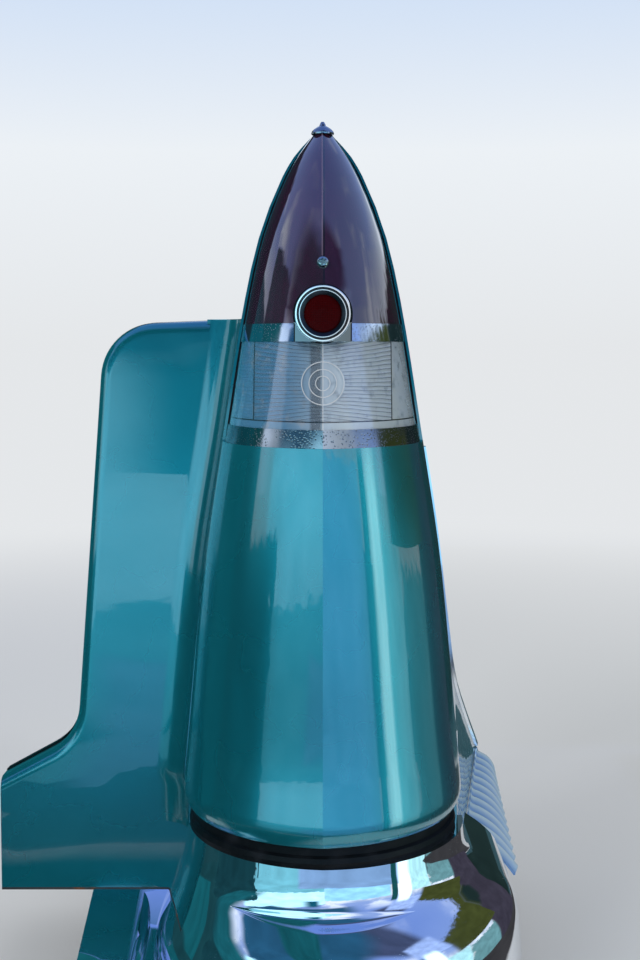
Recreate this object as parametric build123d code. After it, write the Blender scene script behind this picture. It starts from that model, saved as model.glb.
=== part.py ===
from build123d import *
from functools import lru_cache
import math
import os

# Right rear corner of a 1950s car: the tail of the fender with its tower, the tail lamp on top of
# it, the filler panel beside the trunk opening, and the chromed bumper end below.
# Millimetres. +X is the car's right, +Y its front, +Z up. X = 0 is the plane of the tower's keel,
# Y = 0 the splice plane where this corner bolts to the rest of the body.

os.makedirs("parts", exist_ok=True)

# Wall thicknesses
SKIN = 2.0
CHROME_WALL = 3.0
LENS_WALL = 3.0
GUARD_WALL = 1.6

# Heights of the lamp's stack, from the tower's top up
TOWER_TOP = 127.0
CLEAR_BOTTOM = 140.0
CLEAR_TOP = 202.5
RED_BOTTOM = 215.6
RED_TOP = 360.5
FINIAL_TOP = 370.0
FINIAL_Y = -389.0

# Heights of the foot, from the bell lip down
BELL_BOTTOM = -160.0
BELL_KEEL_Y = -507.0
BELL_HALF = 106.5
BELL_DEPTH = 116.0
BELL_WIDEST = 110.8
HEM = 9.0
FIN_FOOT = 214.0
COLLAR_TOP = -176.0
FLANK_BOTTOM = -275.0
FILLER_BOTTOM = -246.0

# Splice plate: four holes on a rectangle centred on the origin
PLATE = 5.0
HOLE_SPACING_X = 90.0
HOLE_SPACING_Z = 400.0
SPLICE_HOLE_R = 5.5

# Lens parting plane: it leans forward from the tower's top to the finial
PARTING_FOOT_Y = -402.0
PARTING_LEAN = 22.0 / 236.0
GASKET = 2.0
PAN = 3.0

# Fender sections, level cuts through tower and fin.
# height, keel y, half width at the widest point, keel to widest point, right edge at the splice
FENDER = [
    (BELL_BOTTOM, BELL_KEEL_Y, BELL_HALF, BELL_DEPTH, 143.0),
    (-151.0, -511.5, BELL_WIDEST, 121.0, 142.0),
    (-136.0, -508.5, 110.0, 120.5, 140.0),
    (-112.0, -503.5, 107.6, 118.5, 137.0),
    (-80.0, -500.5, 104.7, 116.5, 133.0),
    (-30.0, -500.0, 99.8, 113.5, 127.0),
    (35.0, -499.0, 92.5, 108.5, 118.0),
    (TOWER_TOP, -497.0, 77.6, 96.5, 102.0),
    (217.0, -483.0, 63.5, 89.4, 78.0),
    (271.0, -465.0, 52.5, 76.4, 62.0),
    (308.0, -446.0, 40.5, 60.9, 47.0),
    (342.0, -420.0, 24.0, 38.0, 28.0),
    (366.5, -396.0, 2.5, 16.0, 2.8),
]

# Lower flank of the fender, forward of the bumper end.
# height, right edge at the rear, right edge at the splice
FLANK = [
    (FLANK_BOTTOM, 114.0, 181.0),
    (-236.0, 112.0, 169.0),
    (-200.0, 109.8, 156.0),
    (-165.0, 107.6, 145.0),
    (-140.0, 108.4, 140.5),
]
FLANK_REAR_Y = -393.0
FLANK_LEFT = 40.0
BELL_TOP = -100.0
FIN_SHOULDER = 330.0
RIDGE_INSIDE = 356.0

# Lamp sections, level cuts through the lenses. height, keel y, half width at the parting plane
LAMP = [
    (TOWER_TOP, -494.0, 74.6),
    (CLEAR_BOTTOM, -492.5, 72.0),
    (CLEAR_TOP, -483.5, 62.4),
    (RED_BOTTOM, -481.0, 60.2),
    (271.0, -462.0, 49.0),
    (308.0, -442.5, 37.0),
    (342.0, -416.0, 21.0),
    (362.0, -395.5, 7.0),
]

# Bumper pod sections, level cuts.
# height, keel y, right half width, left half width, keel to widest point
POD = [
    (-372.0, -533.0, 146.0, 124.0, 142.0),
    (-362.0, -542.0, 152.5, 131.0, 149.5),
    (-345.0, -549.0, 157.0, 136.0, 155.5),
    (-320.0, -554.0, 160.0, 138.6, 160.0),
    (-285.0, -555.0, 160.2, 137.8, 161.0),
    (-258.0, -551.0, 158.5, 132.0, 158.0),
    (-243.0, -546.5, 156.0, 125.5, 153.5),
    (-232.0, -540.0, 151.5, 121.0, 147.5),
    (-223.0, -532.0, 144.0, 117.6, 140.0),
    (-215.0, -524.0, 134.5, 115.0, 132.0),
    (-208.0, -517.0, 124.5, 112.8, 125.0),
    (-200.0, -512.0, 117.5, 110.5, 119.5),
    (-190.0, -509.0, 113.8, 108.5, 116.0),
    (COLLAR_TOP, BELL_KEEL_Y, 112.0, BELL_HALF, 113.5),
]
BUMPER_FRONT_RIGHT = -296.0
POD_WAIST = -270.0
COLLAR_FOOT = -202.0
COLLAR_DEPTH = 113.0
SEAM_X = -189.0

# Filler panel: outline of the trunk opening's edge, seen from behind (x, height)
FILLER_LEAN = 17.0 / 466.0
FILLER_FOOT_Y = -370.0
FILLER_LEFT = -265.0
EDGE_TOP_RIGHT = (-50.0, 222.0)
EDGE_CORNER = (-177.0, 217.0)
EDGE_LOW_CORNER = (-202.5, -121.0)
EDGE_LOW_LEFT = (FILLER_LEFT, -155.0)
CORNER_R = 46.0
EDGE_TURN = 10.0
EDGE_FLANGE = 24.0
VALLEY_R = 26.0
VALLEY_BOTTOM = -190.0
TOP_HALF = 63.4
VALLEY_STEP = 0.4
VALLEY_FOOT_HALF = 107.2

# Reflector on the keel, between the lenses
REFLECTOR_Z = 222.0
REFLECTOR_FRONT_Y = -492.0
BEZEL_R = 20.0
BEZEL_GAP = 1.6
REFLECTOR_R = 13.2
SCREW_Z = 259.0

# Fluted stone guard along the flank
GUARD_REAR_Y = -284.0
GUARD_FRONT_Y = -12.0
GUARD_RIBS = 12
RIB_RISE = 3.6
GUARD_BULGE = 5.0
# Chambers of the lamp: name, height of the bulb
CHAMBERS = [("backup", 170.0), ("tail", 290.0)]
SOCKET_R = 11.0
BULB_BASE_R = 7.5
SCREW_R = 2.2
LAMP_SHOULDER = 328.0
LENS_RIM = 6.0
FLUTES = 22
FLUTE_DEPTH = 0.9
BAND_PROUD = 0.9
BLOCK_HALF = 20.5

# Rings of the clear lens's boss: outer and inner radius
BOSS_RINGS = [(15.6, 14.6), (10.2, 9.3), (5.6, 4.6)]
BOSS_Z = 173.0
BOSS_RISE = 0.7

# Bumper bar beside the pod
BAR_TOP = -247.0
BAR_END_X = -139.0
BAR_ROUND = 12.0
BAR_FRONT_Y = -372.0
BAR_SLOPE = 0.3
TROUGH_DROP = 12.0
TROUGH_FOOT_Y = -400.0
GASKET_FRONT_Y = -394.0
GASKET_DEPTH = 110.0
FOOT_GAP = 0.6
BODY_GAP = 3.0

# Bumper bracket's foot: two bolts through the splice plate
BRACKET_SPACING = 60.0
BRACKET_Z = -300.0
PLATE_LEFT = -75.0

# Guard, moulding, floor beads and seal
RIB_STEPS = 4
GUARD_ROOT_REAR = 123.0
GUARD_ROOT_FRONT = 159.0
GUARD_TIP_REAR = 174.0
GUARD_TIP_FRONT = 188.0
GUARD_TOP = -229.0
GUARD_DROP = 8.0
GUARD_FOOT = -271.0
MOULDING_PROUD = 3.0
BEADS_X = (-225.0, -165.0, -105.0)
BEAD_R = 8.0
SEAL_HEIGHT = 10.0


def block(x0, x1, y0, y1, z0, z1):
    """Box between two corners."""
    return Pos((x0 + x1) / 2, (y0 + y1) / 2, (z0 + z1) / 2) * Box(x1 - x0, y1 - y0, z1 - z0)


def rod(start, end, radius):
    """Round bar between two points."""
    line = Edge.make_line(start, end)
    plane = Plane(origin=start, z_dir=Vector(*end) - Vector(*start))
    return extrude(plane * Circle(radius), line.length)


def level_face(points_and_edges, z):
    """Planar face at a height from a closed chain of edges drawn at z = 0."""
    return Face(Wire(points_and_edges)).moved(Location((0, 0, z)))


def flank_arc(keel_y, half, depth, side, inset):
    """Half of a prow: an arc from the keel, square to the widest point. Returns edge and ends."""
    radius = (half**2 + depth**2) / (2 * half)
    centre_x = half - radius
    centre_y = keel_y + depth
    inner = radius - inset
    nose = centre_y - math.sqrt(inner**2 - centre_x**2)
    start_angle = math.atan2(nose - centre_y, -centre_x)
    mid_x = centre_x + inner * math.cos(start_angle / 2)
    mid_y = centre_y + inner * math.sin(start_angle / 2)
    keel = (0, nose)
    widest = (side * (half - inset), centre_y)
    return ThreePointArc(keel, (side * mid_x, mid_y), widest), keel, widest


def prow_section(z, keel_y, right, left, depth, front_right, front_left, front_y, inset=0.0):
    """Level section of a prow: two arcs that meet in the keel crease, and straight sides.

    front_right and front_left are the half widths where the sides reach the splice plane.
    """
    right_arc, keel, right_end = flank_arc(keel_y, right, depth, 1, inset)
    left_arc, left_keel, left_end = flank_arc(keel_y, left, depth, -1, inset)
    if abs(left_keel[1] - keel[1]) > 1e-6:
        left_arc = ThreePointArc(keel, left_arc @ 0.5, left_end)
    reach = (front_y - right_end[1]) / (0.0 - right_end[1])
    right_front = (right + (front_right - right) * reach - inset, front_y)
    left_front = (-left - (front_left - left) * reach + inset, front_y)
    edges = [
        right_arc,
        Line(right_end, right_front),
        Line(right_front, left_front),
        Line(left_front, left_end),
        left_arc,
    ]
    return level_face(edges, z)


def slopes(xs, ys):
    """Slopes of a smooth curve through points that never swings past them."""
    steps = [(ys[k + 1] - ys[k]) / (xs[k + 1] - xs[k]) for k in range(len(xs) - 1)]
    inner = [0.0 if a * b <= 0 else 2 * a * b / (a + b) for a, b in zip(steps, steps[1:])]
    return [steps[0]] + inner + [steps[-1]]


def row_at(table, z):
    """Row of a table of sections at any height, on smooth curves through the given rows."""
    heights = [row[0] for row in table]
    k = max(i for i in range(len(table) - 1) if heights[i] <= z or i == 0)
    step = heights[k + 1] - heights[k]
    t = (z - heights[k]) / step
    values = [z]
    for column in range(1, len(table[0])):
        ys = [row[column] for row in table]
        m = slopes(heights, ys)
        values.append(
            ys[k] * (1 + 2 * t) * (1 - t) ** 2 + ys[k + 1] * t * t * (3 - 2 * t)
            + step * t * (1 - t) * ((1 - t) * m[k] - t * m[k + 1])
        )
    return tuple(values)


def stations(low, high, step):
    """Heights from low to high in even steps of about the given size."""
    count = max(1, round((high - low) / step))
    return [low + (high - low) * k / count for k in range(count + 1)]


@lru_cache(maxsize=None)
def fender_hull(inset):
    """Solid inside the fender's surface moved in by inset, from the bell lip to the fin's ridge."""
    front_y = 2.0 if inset > 0 else 0.0
    foot = BELL_BOTTOM + max(inset, 0.0)
    ridge = RIDGE_INSIDE if inset > 0 else FENDER[-1][0]
    heights = stations(foot, BELL_TOP, 6.0)
    heights += stations(BELL_TOP, FIN_SHOULDER, 24.0)[1:]
    heights += stations(FIN_SHOULDER, ridge, 8.0)[1:]
    sections = []
    for height in heights:
        z, keel_y, half, depth, right = row_at(FENDER, height)
        sections.append(prow_section(z, keel_y, half, half, depth, right, half, front_y, inset))
    return loft(sections, ruled=True)


@lru_cache(maxsize=None)
def flank_hull(inset):
    """Solid inside the lower flank moved in by inset."""
    front_y = 2.0 if inset > 0 else 0.0
    reach = (front_y - FLANK_REAR_Y) / (0.0 - FLANK_REAR_Y)
    sections = []
    for height in stations(FLANK_BOTTOM - 5.0, FLANK[-1][0], 14.0):
        z, rear, front = row_at(FLANK, height)
        corners = [
            (rear - inset, FLANK_REAR_Y),
            (rear + (front - rear) * reach - inset, front_y),
            (FLANK_LEFT - inset, front_y),
            (FLANK_LEFT - inset, FLANK_REAR_Y),
        ]
        sections.append(Face(Wire(Polyline(*corners, close=True))).moved(Location((0, 0, z))))
    return loft(sections, ruled=True)


def parting_y(z):
    """Y of the lens parting plane at a height."""
    return PARTING_FOOT_Y + PARTING_LEAN * (z - TOWER_TOP)


def filler_y(z):
    """Y of the filler panel's rear face at a height."""
    return FILLER_FOOT_Y + FILLER_LEAN * (z - FILLER_BOTTOM)


def lean_prism(offset_rear, offset_front, z0, z1, half_x=200.0):
    """Solid between two planes parallel to the lens parting plane."""
    side = Polyline(
        (parting_y(z0) + offset_rear, z0),
        (parting_y(z0) + offset_front, z0),
        (parting_y(z1) + offset_front, z1),
        (parting_y(z1) + offset_rear, z1),
        close=True,
    )
    return extrude(Plane.YZ.offset(-half_x) * Face(Wire(side)), 2 * half_x)


# Painted sheet metal

def fender_skin():
    """Fender's outer sheet: tower, fin and flank in one pressing, open at the splice."""
    outer = fender_hull(0.0) + flank_hull(0.0)
    inner = fender_hull(SKIN) + flank_hull(SKIN)
    deck = block(-90, 90, -520, PARTING_FOOT_Y + 12, TOWER_TOP - SKIN, TOWER_TOP)
    wiring_hole = Pos(0, -450, TOWER_TOP - SKIN / 2) * Cylinder(11, 3 * SKIN)
    skin = outer - (inner - deck) - wiring_hole
    # the lamp's seat, the mouth under the bell lip and the open trunk side
    skin -= lean_prism(-200, 0, TOWER_TOP, 400)
    skin -= loft([
        prow_section(z, BELL_KEEL_Y, BELL_HALF, BELL_HALF, BELL_DEPTH, 143.0, BELL_HALF, 2.0, HEM)
        for z in (BELL_BOTTOM - 2, BELL_BOTTOM + SKIN + 1)
    ], ruled=True)
    skin -= block(-200, FLANK_LEFT - SKIN, FLANK_REAR_Y - 30, 5, -400, BELL_BOTTOM)
    skin -= block(-200, FLANK_LEFT + 4, filler_y(0) + 14, 5, -400, FIN_FOOT)
    skin -= block(-300, 300, -700, 5, -400, FLANK_BOTTOM)
    return max(skin.solids(), key=lambda s: s.volume)


def opening_outline(inset):
    """Filler panel's outline seen from behind, with the rounded corners of the trunk opening."""
    left = EDGE_LOW_LEFT[0] - 1.0
    corners = [
        (EDGE_TOP_RIGHT[0], EDGE_TOP_RIGHT[1] - inset),
        (EDGE_CORNER[0] + inset, EDGE_CORNER[1] - inset),
        (EDGE_LOW_CORNER[0] + inset, EDGE_LOW_CORNER[1] - inset),
        (left, EDGE_LOW_LEFT[1] - inset),
        (left, FILLER_BOTTOM - 1.0),
        (EDGE_TOP_RIGHT[0], FILLER_BOTTOM - 1.0),
    ]
    outline = Face(Wire(Polyline(*corners, close=True)))
    upper = [v for v in outline.vertices() if v.X < -150 and v.Y > 150]
    outline = fillet(upper, CORNER_R - inset)
    lower = [v for v in outline.vertices() if -230 < v.X < -150 and -150 < v.Y < -100]
    return fillet(lower, CORNER_R + inset)


def upright(face, y0, y1):
    """Face drawn as (x, height), stood up and run from y0 to y1."""
    stood = Plane(origin=(0, y0, 0), x_dir=(1, 0, 0), z_dir=(0, -1, 0)) * face
    return extrude(stood, -(y1 - y0))


def lean(shape):
    """Tilts a piece drawn upright about the filler panel's foot."""
    angle = math.degrees(math.atan(FILLER_LEAN))
    return shape.rotate(Axis((0, FILLER_FOOT_Y, FILLER_BOTTOM), (1, 0, 0)), -angle)


def filler_blank(inset, back):
    """Closed body of the filler panel, with the rolled edge along the trunk opening."""
    y0 = FILLER_FOOT_Y + inset
    body = upright(opening_outline(inset), y0, FILLER_FOOT_Y + back)
    rolled = [
        e for e in body.edges().filter_by(lambda e: abs(e.center().Y - y0) < 0.01)
        if e.center().X < -60 and e.center().Z > FILLER_BOTTOM + 10 and e.center().X > -262
    ]
    return fillet(rolled, EDGE_TURN - inset)


def valley_rows():
    """Heights up the valley with the tower's half width there."""
    rows = [(VALLEY_BOTTOM, VALLEY_FOOT_HALF), (BELL_BOTTOM, VALLEY_FOOT_HALF), (-151.0, BELL_WIDEST)]
    rows += [row_at(FENDER, z)[0:3:2] for z in stations(-136.0, 196.0, 24.0)]
    return rows + [(EDGE_TOP_RIGHT[1] - 2.0, TOP_HALF)]


def filler_panel():
    """Rear-facing panel between trunk opening and tower, with its concave valley."""
    pan = filler_blank(0.0, EDGE_FLANGE) - filler_blank(SKIN, EDGE_FLANGE + 5)
    pan = lean(pan)
    pan -= block(FILLER_LEFT - 10, FILLER_LEFT, -500, 0, -400, 400)
    pan -= block(-400, 0, -500, 0, FILLER_BOTTOM - 10, FILLER_BOTTOM)
    strip = []
    for height, half in valley_rows():
        centre_x = -half - VALLEY_R - VALLEY_STEP
        centre_y = filler_y(height) - VALLEY_R
        outer, inner = VALLEY_R, VALLEY_R + SKIN
        cut = math.sqrt(0.5)
        edges = [
            ThreePointArc(
                (centre_x, centre_y + outer),
                (centre_x + outer * cut, centre_y + outer * cut),
                (centre_x + outer, centre_y),
            ),
            Line((centre_x + outer, centre_y), (centre_x + inner, centre_y)),
            ThreePointArc(
                (centre_x + inner, centre_y),
                (centre_x + inner * cut, centre_y + inner * cut),
                (centre_x, centre_y + inner),
            ),
            Line((centre_x, centre_y + inner), (centre_x, centre_y + outer)),
        ]
        strip.append(level_face(edges, height))
    valley = loft(strip, ruled=True)
    wall = fender_hull(0.0)
    # the pan stops where the valley begins
    trim = loft([
        level_face(
            Polyline(
                (-half - VALLEY_R - VALLEY_STEP + 0.5, -440),
                (60, -440),
                (60, -200),
                (-half - VALLEY_R - VALLEY_STEP + 0.5, -200),
                close=True,
            ).edges(),
            height,
        )
        for height, half in valley_rows() + [(EDGE_TOP_RIGHT[1] + 10, TOP_HALF)]
    ], ruled=True)
    foot_y = filler_y(EDGE_TOP_RIGHT[1])
    cap_left = -TOP_HALF - VALLEY_R - VALLEY_STEP
    cut = VALLEY_R * math.sqrt(0.5)
    cap = extrude(level_face([
        ThreePointArc(
            (cap_left, foot_y),
            (cap_left + cut, foot_y - VALLEY_R + cut),
            (cap_left + VALLEY_R, foot_y - VALLEY_R),
        ),
        Line((cap_left + VALLEY_R, foot_y - VALLEY_R), (-50, foot_y - VALLEY_R)),
        Line((-50, foot_y - VALLEY_R), (-50, foot_y + EDGE_FLANGE - 1)),
        Line((-50, foot_y + EDGE_FLANGE - 1), (cap_left, foot_y + EDGE_FLANGE - 1)),
        Line((cap_left, foot_y + EDGE_FLANGE - 1), (cap_left, foot_y)),
    ], EDGE_TOP_RIGHT[1] - 3.5), SKIN)
    cap += block(cap_left - 3, cap_left + 0.5, foot_y + 2, foot_y + EDGE_FLANGE - 1, 217.0, 220.5)
    return (pan - trim) + (valley - wall) + (cap - wall)


# Tail lamp

def lamp_section(z, keel_y, half, inset, back):
    """Level section of the lenses: keel crease, two arcs, and the flat parting side."""
    chord = parting_y(z)
    right_arc, _, right_end = flank_arc(keel_y, half, chord - keel_y, 1, inset)
    left_arc, _, left_end = flank_arc(keel_y, half, chord - keel_y, -1, inset)
    if back == 0:
        return level_face([right_arc, Line(right_end, left_end), left_arc], z)
    right_back = (right_end[0], right_end[1] + back)
    left_back = (left_end[0], left_end[1] + back)
    edges = [
        right_arc,
        Line(right_end, right_back),
        Line(right_back, left_back),
        Line(left_back, left_end),
        left_arc,
    ]
    return level_face(edges, z)


@lru_cache(maxsize=None)
def lamp_hull(inset, back, top=LAMP[-1][0]):
    """Body of the lamp, from the tower's top to the finial."""
    heights = stations(TOWER_TOP, LAMP_SHOULDER, 14.0) + stations(LAMP_SHOULDER, top, 6.0)[1:]
    return loft([lamp_section(*row_at(LAMP, z), inset, back) for z in heights], ruled=True)


def between(shape, z0, z1):
    """Part of a shape between two heights."""
    return shape & block(-300, 300, -700, 100, z0, z1)


def lamp_band(z0, z1, proud):
    """Chrome band round the lamp between two heights."""
    return between(lamp_hull(-proud, 0) - lamp_hull(LENS_WALL, 30, 354.0), z0, z1)


def fluted_core():
    """Inside of the clear lens: level flutes between a plain rim at the top and one at the foot."""
    low, high = CLEAR_BOTTOM + LENS_RIM, CLEAR_TOP - LENS_RIM / 2
    pitch = (high - low) / FLUTES
    rows = [(CLEAR_BOTTOM - 1, LENS_WALL)]
    for k in range(FLUTES):
        rows += [(low + pitch * k, LENS_WALL), (low + pitch * (k + 0.5), LENS_WALL - FLUTE_DEPTH)]
    rows += [(high, LENS_WALL), (CLEAR_TOP + 1, LENS_WALL)]
    return loft([lamp_section(*row_at(LAMP, z), inset, 30) for z, inset in rows], ruled=True)


def clear_lens():
    """Backup lens with its keel crease, its flutes inside and the round boss in its middle."""
    shell = between(lamp_hull(0.0, 0) - fluted_core(), CLEAR_BOTTOM, CLEAR_TOP)
    rings = None
    for outer, inner in BOSS_RINGS:
        ring = Cylinder(outer, 40) - Cylinder(inner, 42)
        ring = Pos(0, -485, BOSS_Z) * Rot(90, 0, 0) * ring
        rings = ring if rings is None else rings + ring
    proud = lamp_hull(-BOSS_RISE, 0) - lamp_hull(1.0, 30, 354.0)
    return shell + (rings & proud & block(-30, 30, -520, -460, 150, 195))


def red_lens():
    """Stop and tail lens: the ogive above the reflector."""
    shell = lamp_band(RED_BOTTOM, RED_TOP, 0.0)
    recess = rod((0, -520, REFLECTOR_Z), (0, -440, REFLECTOR_Z), BEZEL_R + BEZEL_GAP)
    recess -= lamp_hull(1.6, 0, 354.0)
    return shell - lens_screw() - recess


def lens_screw():
    """Oval-headed screw through the red lens into the pan."""
    head_y = -470.5
    tip_y = parting_y(SCREW_Z) + GASKET + PAN + 3
    profile = Face(Wire([
        Line((0, head_y), (1.5, head_y)),
        ThreePointArc((1.5, head_y), (3.4, head_y + 0.9), (4.2, head_y + 2.4)),
        Line((4.2, head_y + 2.4), (SCREW_R, head_y + 4.6)),
        Line((SCREW_R, head_y + 4.6), (SCREW_R, tip_y)),
        Line((SCREW_R, tip_y), (0, tip_y)),
        Line((0, tip_y), (0, head_y)),
    ]))
    body = Pos(0, 0, SCREW_Z) * revolve(profile, Axis.Y)
    slot = block(-5, 5, head_y - 1, head_y + 1.2, SCREW_Z - 0.5, SCREW_Z + 0.5)
    return body - slot


def pan_rings(offset_rear, offset_front):
    """Fender's inside between two planes parallel to the parting plane, above the tower."""
    return fender_hull(SKIN) & lean_prism(offset_rear, offset_front, TOWER_TOP, 352.0)


def lens_gasket():
    """Rubber between the lenses' edges and the pan."""
    return pan_rings(0.0, GASKET) - between(lamp_hull(5.0, 40, 350.0), TOWER_TOP + 5, 345)


def lamp_pan():
    """Pressed pan that carries the sockets and takes the lens screw."""
    pan = pan_rings(GASKET, GASKET + PAN)
    for _, z in CHAMBERS:
        pan -= rod((0, -430, z), (0, -350, z), SOCKET_R)
    return pan - rod((0, -430, SCREW_Z), (0, -350, SCREW_Z), SCREW_R)


def lamp_divider():
    """Shelf between the red and the clear chamber, behind the upper band."""
    middle = (CLEAR_TOP + RED_BOTTOM) / 2
    shelf = lamp_hull(LENS_WALL + 0.2, 0, 354.0) + lamp_hull(5.2, GASKET, 350.0)
    return between(shelf, middle - 1.5, middle + 1.5)


def reflector_bowl(z):
    """Bright bowl round a bulb, fixed to the pan."""
    back_y = parting_y(z) + GASKET
    curve = [(SOCKET_R + 1, 0), (17.4, 3.4), (21.2, 8.6), (23.6, 15.4), (24.8, 24)]
    inner = [(radius, back_y - rise) for radius, rise in curve]
    outer = [(radius + 1.4, back_y - rise) for radius, rise in reversed(curve)]
    bowl = Pos(0, 0, z) * revolve(Face(Wire(Polyline(*inner, *outer, close=True))), Axis.Y)
    return bowl - lean_prism(GASKET, 60, z - 60, z + 60)


def socket(z):
    """Lamp socket through the pan."""
    front_y = parting_y(z) + GASKET + PAN + 24
    rear_y = parting_y(z) - 4
    return rod((0, rear_y, z), (0, front_y, z), SOCKET_R) - rod(
        (0, rear_y - 1, z), (0, rear_y + 16, z), BULB_BASE_R
    )


def bulb(z):
    """Glass bulb on its bayonet base."""
    base_y = parting_y(z) + 12
    neck_y = base_y - 20
    curve = [(BULB_BASE_R, 0), (9.6, 4), (11.4, 8.4), (12.2, 13), (11.4, 18), (9.0, 22.4), (5.4, 25.2)]
    glass = [(radius, neck_y - rise) for radius, rise in curve]
    outline = [(0, base_y), (BULB_BASE_R, base_y), *glass, (0, neck_y - 26.2)]
    return Pos(0, 0, z) * revolve(Face(Wire(Polyline(*outline, close=True))), Axis.Y)


def reflector_bezel():
    """Stepped chrome ring of the red reflector and its square foot, one casting on lens and band."""
    front = REFLECTOR_FRONT_Y
    back = front + 32
    points = [
        (REFLECTOR_R - 1.6, back),
        (BEZEL_R, back),
        (BEZEL_R, front + 1.2),
        (BEZEL_R - 0.6, front),
        (BEZEL_R - 1.5, front),
        (BEZEL_R - 2.0, front + 1.6),
        (BEZEL_R - 2.9, front + 1.6),
        (BEZEL_R - 3.3, front + 0.2),
        (BEZEL_R - 3.9, front + 0.2),
        (REFLECTOR_R + 0.4, front + 2.8),
        (REFLECTOR_R, front + 3.4),
        (REFLECTOR_R, front + 6.0),
        (REFLECTOR_R - 1.6, front + 6.0),
    ]
    ring = Pos(0, 0, REFLECTOR_Z) * revolve(Face(Wire(Polyline(*points, close=True))), Axis.Y)
    foot = block(-BLOCK_HALF, BLOCK_HALF, front + 2.5, -462, CLEAR_TOP, RED_BOTTOM)
    foot -= rod((0, -520, REFLECTOR_Z), (0, -440, REFLECTOR_Z), BEZEL_R - 1.0)
    return ring + foot - lamp_hull(-BAND_PROUD, 0)


def red_reflector():
    """Round prismatic reflector, slightly domed."""
    front = REFLECTOR_FRONT_Y
    outline = [
        (0, front + 6.0),
        (REFLECTOR_R, front + 6.0),
        (REFLECTOR_R, front + 3.4),
        (REFLECTOR_R - 1.0, front + 2.9),
        (REFLECTOR_R * 0.6, front + 2.3),
        (REFLECTOR_R * 0.3, front + 2.05),
        (0, front + 2.0),
    ]
    return Pos(0, 0, REFLECTOR_Z) * revolve(Face(Wire(Polyline(*outline, close=True))), Axis.Y)


def finial():
    """Pointed chrome cap on top of the red lens."""
    base_z = RED_TOP
    outline = [
        (0, base_z),
        (8.6, base_z),
        (8.8, base_z + 1.0),
        (8.2, base_z + 2.4),
        (6.6, base_z + 4.0),
        (4.2, base_z + 5.6),
        (2.6, base_z + 6.4),
        (2.2, base_z + 7.6),
        (1.2, FINIAL_TOP),
        (0, FINIAL_TOP),
    ]
    profile = Plane.XZ * Face(Wire(Polyline(*outline, close=True)))
    cap = Pos(0, FINIAL_Y, 0) * revolve(profile, Axis.Z)
    ridge = Face(Wire(Polyline((-1.1, 0), (0, 1.1), (1.1, 0), close=True)))
    slope = Plane(origin=(0, FINIAL_Y - 8.6, base_z + 0.6), x_dir=(1, 0, 0), z_dir=(0, 8.2, 7.2))
    crest = extrude(slope * ridge, 9.5) & block(-9, 9, FINIAL_Y - 20, FINIAL_Y, base_z, FINIAL_TOP)
    return cap + crest - lean_prism(0, 60, base_z - 5, FINIAL_TOP + 5)


# Foot of the tower and the bumper end

def gasket_section(z, front_y, inset):
    """Level section that follows the bell lip."""
    return prow_section(
        z, BELL_KEEL_Y, BELL_HALF, BELL_HALF, GASKET_DEPTH, BELL_HALF, BELL_HALF, front_y, inset
    )


def base_gasket():
    """Black rubber between the bell lip and the bumper's collar, with its bead."""
    rows = [(COLLAR_TOP, 1.2), (-172.0, 0.6), (-168.5, 1.6), (-167.0, 4.0), (BELL_BOTTOM, 4.6)]
    outer = loft([gasket_section(z, GASKET_FRONT_Y, inset) for z, inset in rows], ruled=True)
    mouth = (COLLAR_TOP - 1, BELL_BOTTOM + 1)
    inner = loft([gasket_section(z, GASKET_FRONT_Y + 5, 14.0) for z in mouth], ruled=True)
    return outer - inner


@lru_cache(maxsize=None)
def pod_hull(inset, front_y):
    """Body of the bumper's pod, from the rolled lower edge to the collar."""
    heights = stations(POD[0][0], POD_WAIST, 11.0) + stations(POD_WAIST, COLLAR_TOP, 4.2)[1:]
    sections = []
    for height in heights:
        z, keel_y, right, left, depth = row_at(POD, height)
        sections.append(prow_section(z, keel_y, right, left, depth, right, left, front_y, inset))
    return loft(sections, ruled=True)


def bar_blank(x0, x1, drop, inset):
    """Bumper bar beside the pod: sloping top, rounded nose. drop sinks the top behind its edge."""
    points = [
        (-340.0, BAR_TOP - inset),
        (BAR_FRONT_Y, BAR_TOP - inset),
        (-452.0 + inset, BAR_TOP - 24.0 - drop - inset),
        (-500.0 + inset, -306.0 - inset),
        (-508.0 + inset, -336.0),
        (-492.0 + inset, -364.0 + inset),
        (-470.0, -372.0 + inset),
        (-340.0, -372.0 + inset),
    ]
    if drop > 0:
        slope = BAR_SLOPE * (BAR_FRONT_Y - TROUGH_FOOT_Y)
        points.insert(2, (TROUGH_FOOT_Y, BAR_TOP - slope - drop - inset))
    face = Face(Wire(Polyline(*points, close=True)))
    nose = [v for v in face.vertices() if -505 < v.X < -445 and v.Y > -370]
    face = fillet(nose, 16.0 - inset)
    return extrude(Plane.YZ.offset(x0) * face, x1 - x0)


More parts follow.
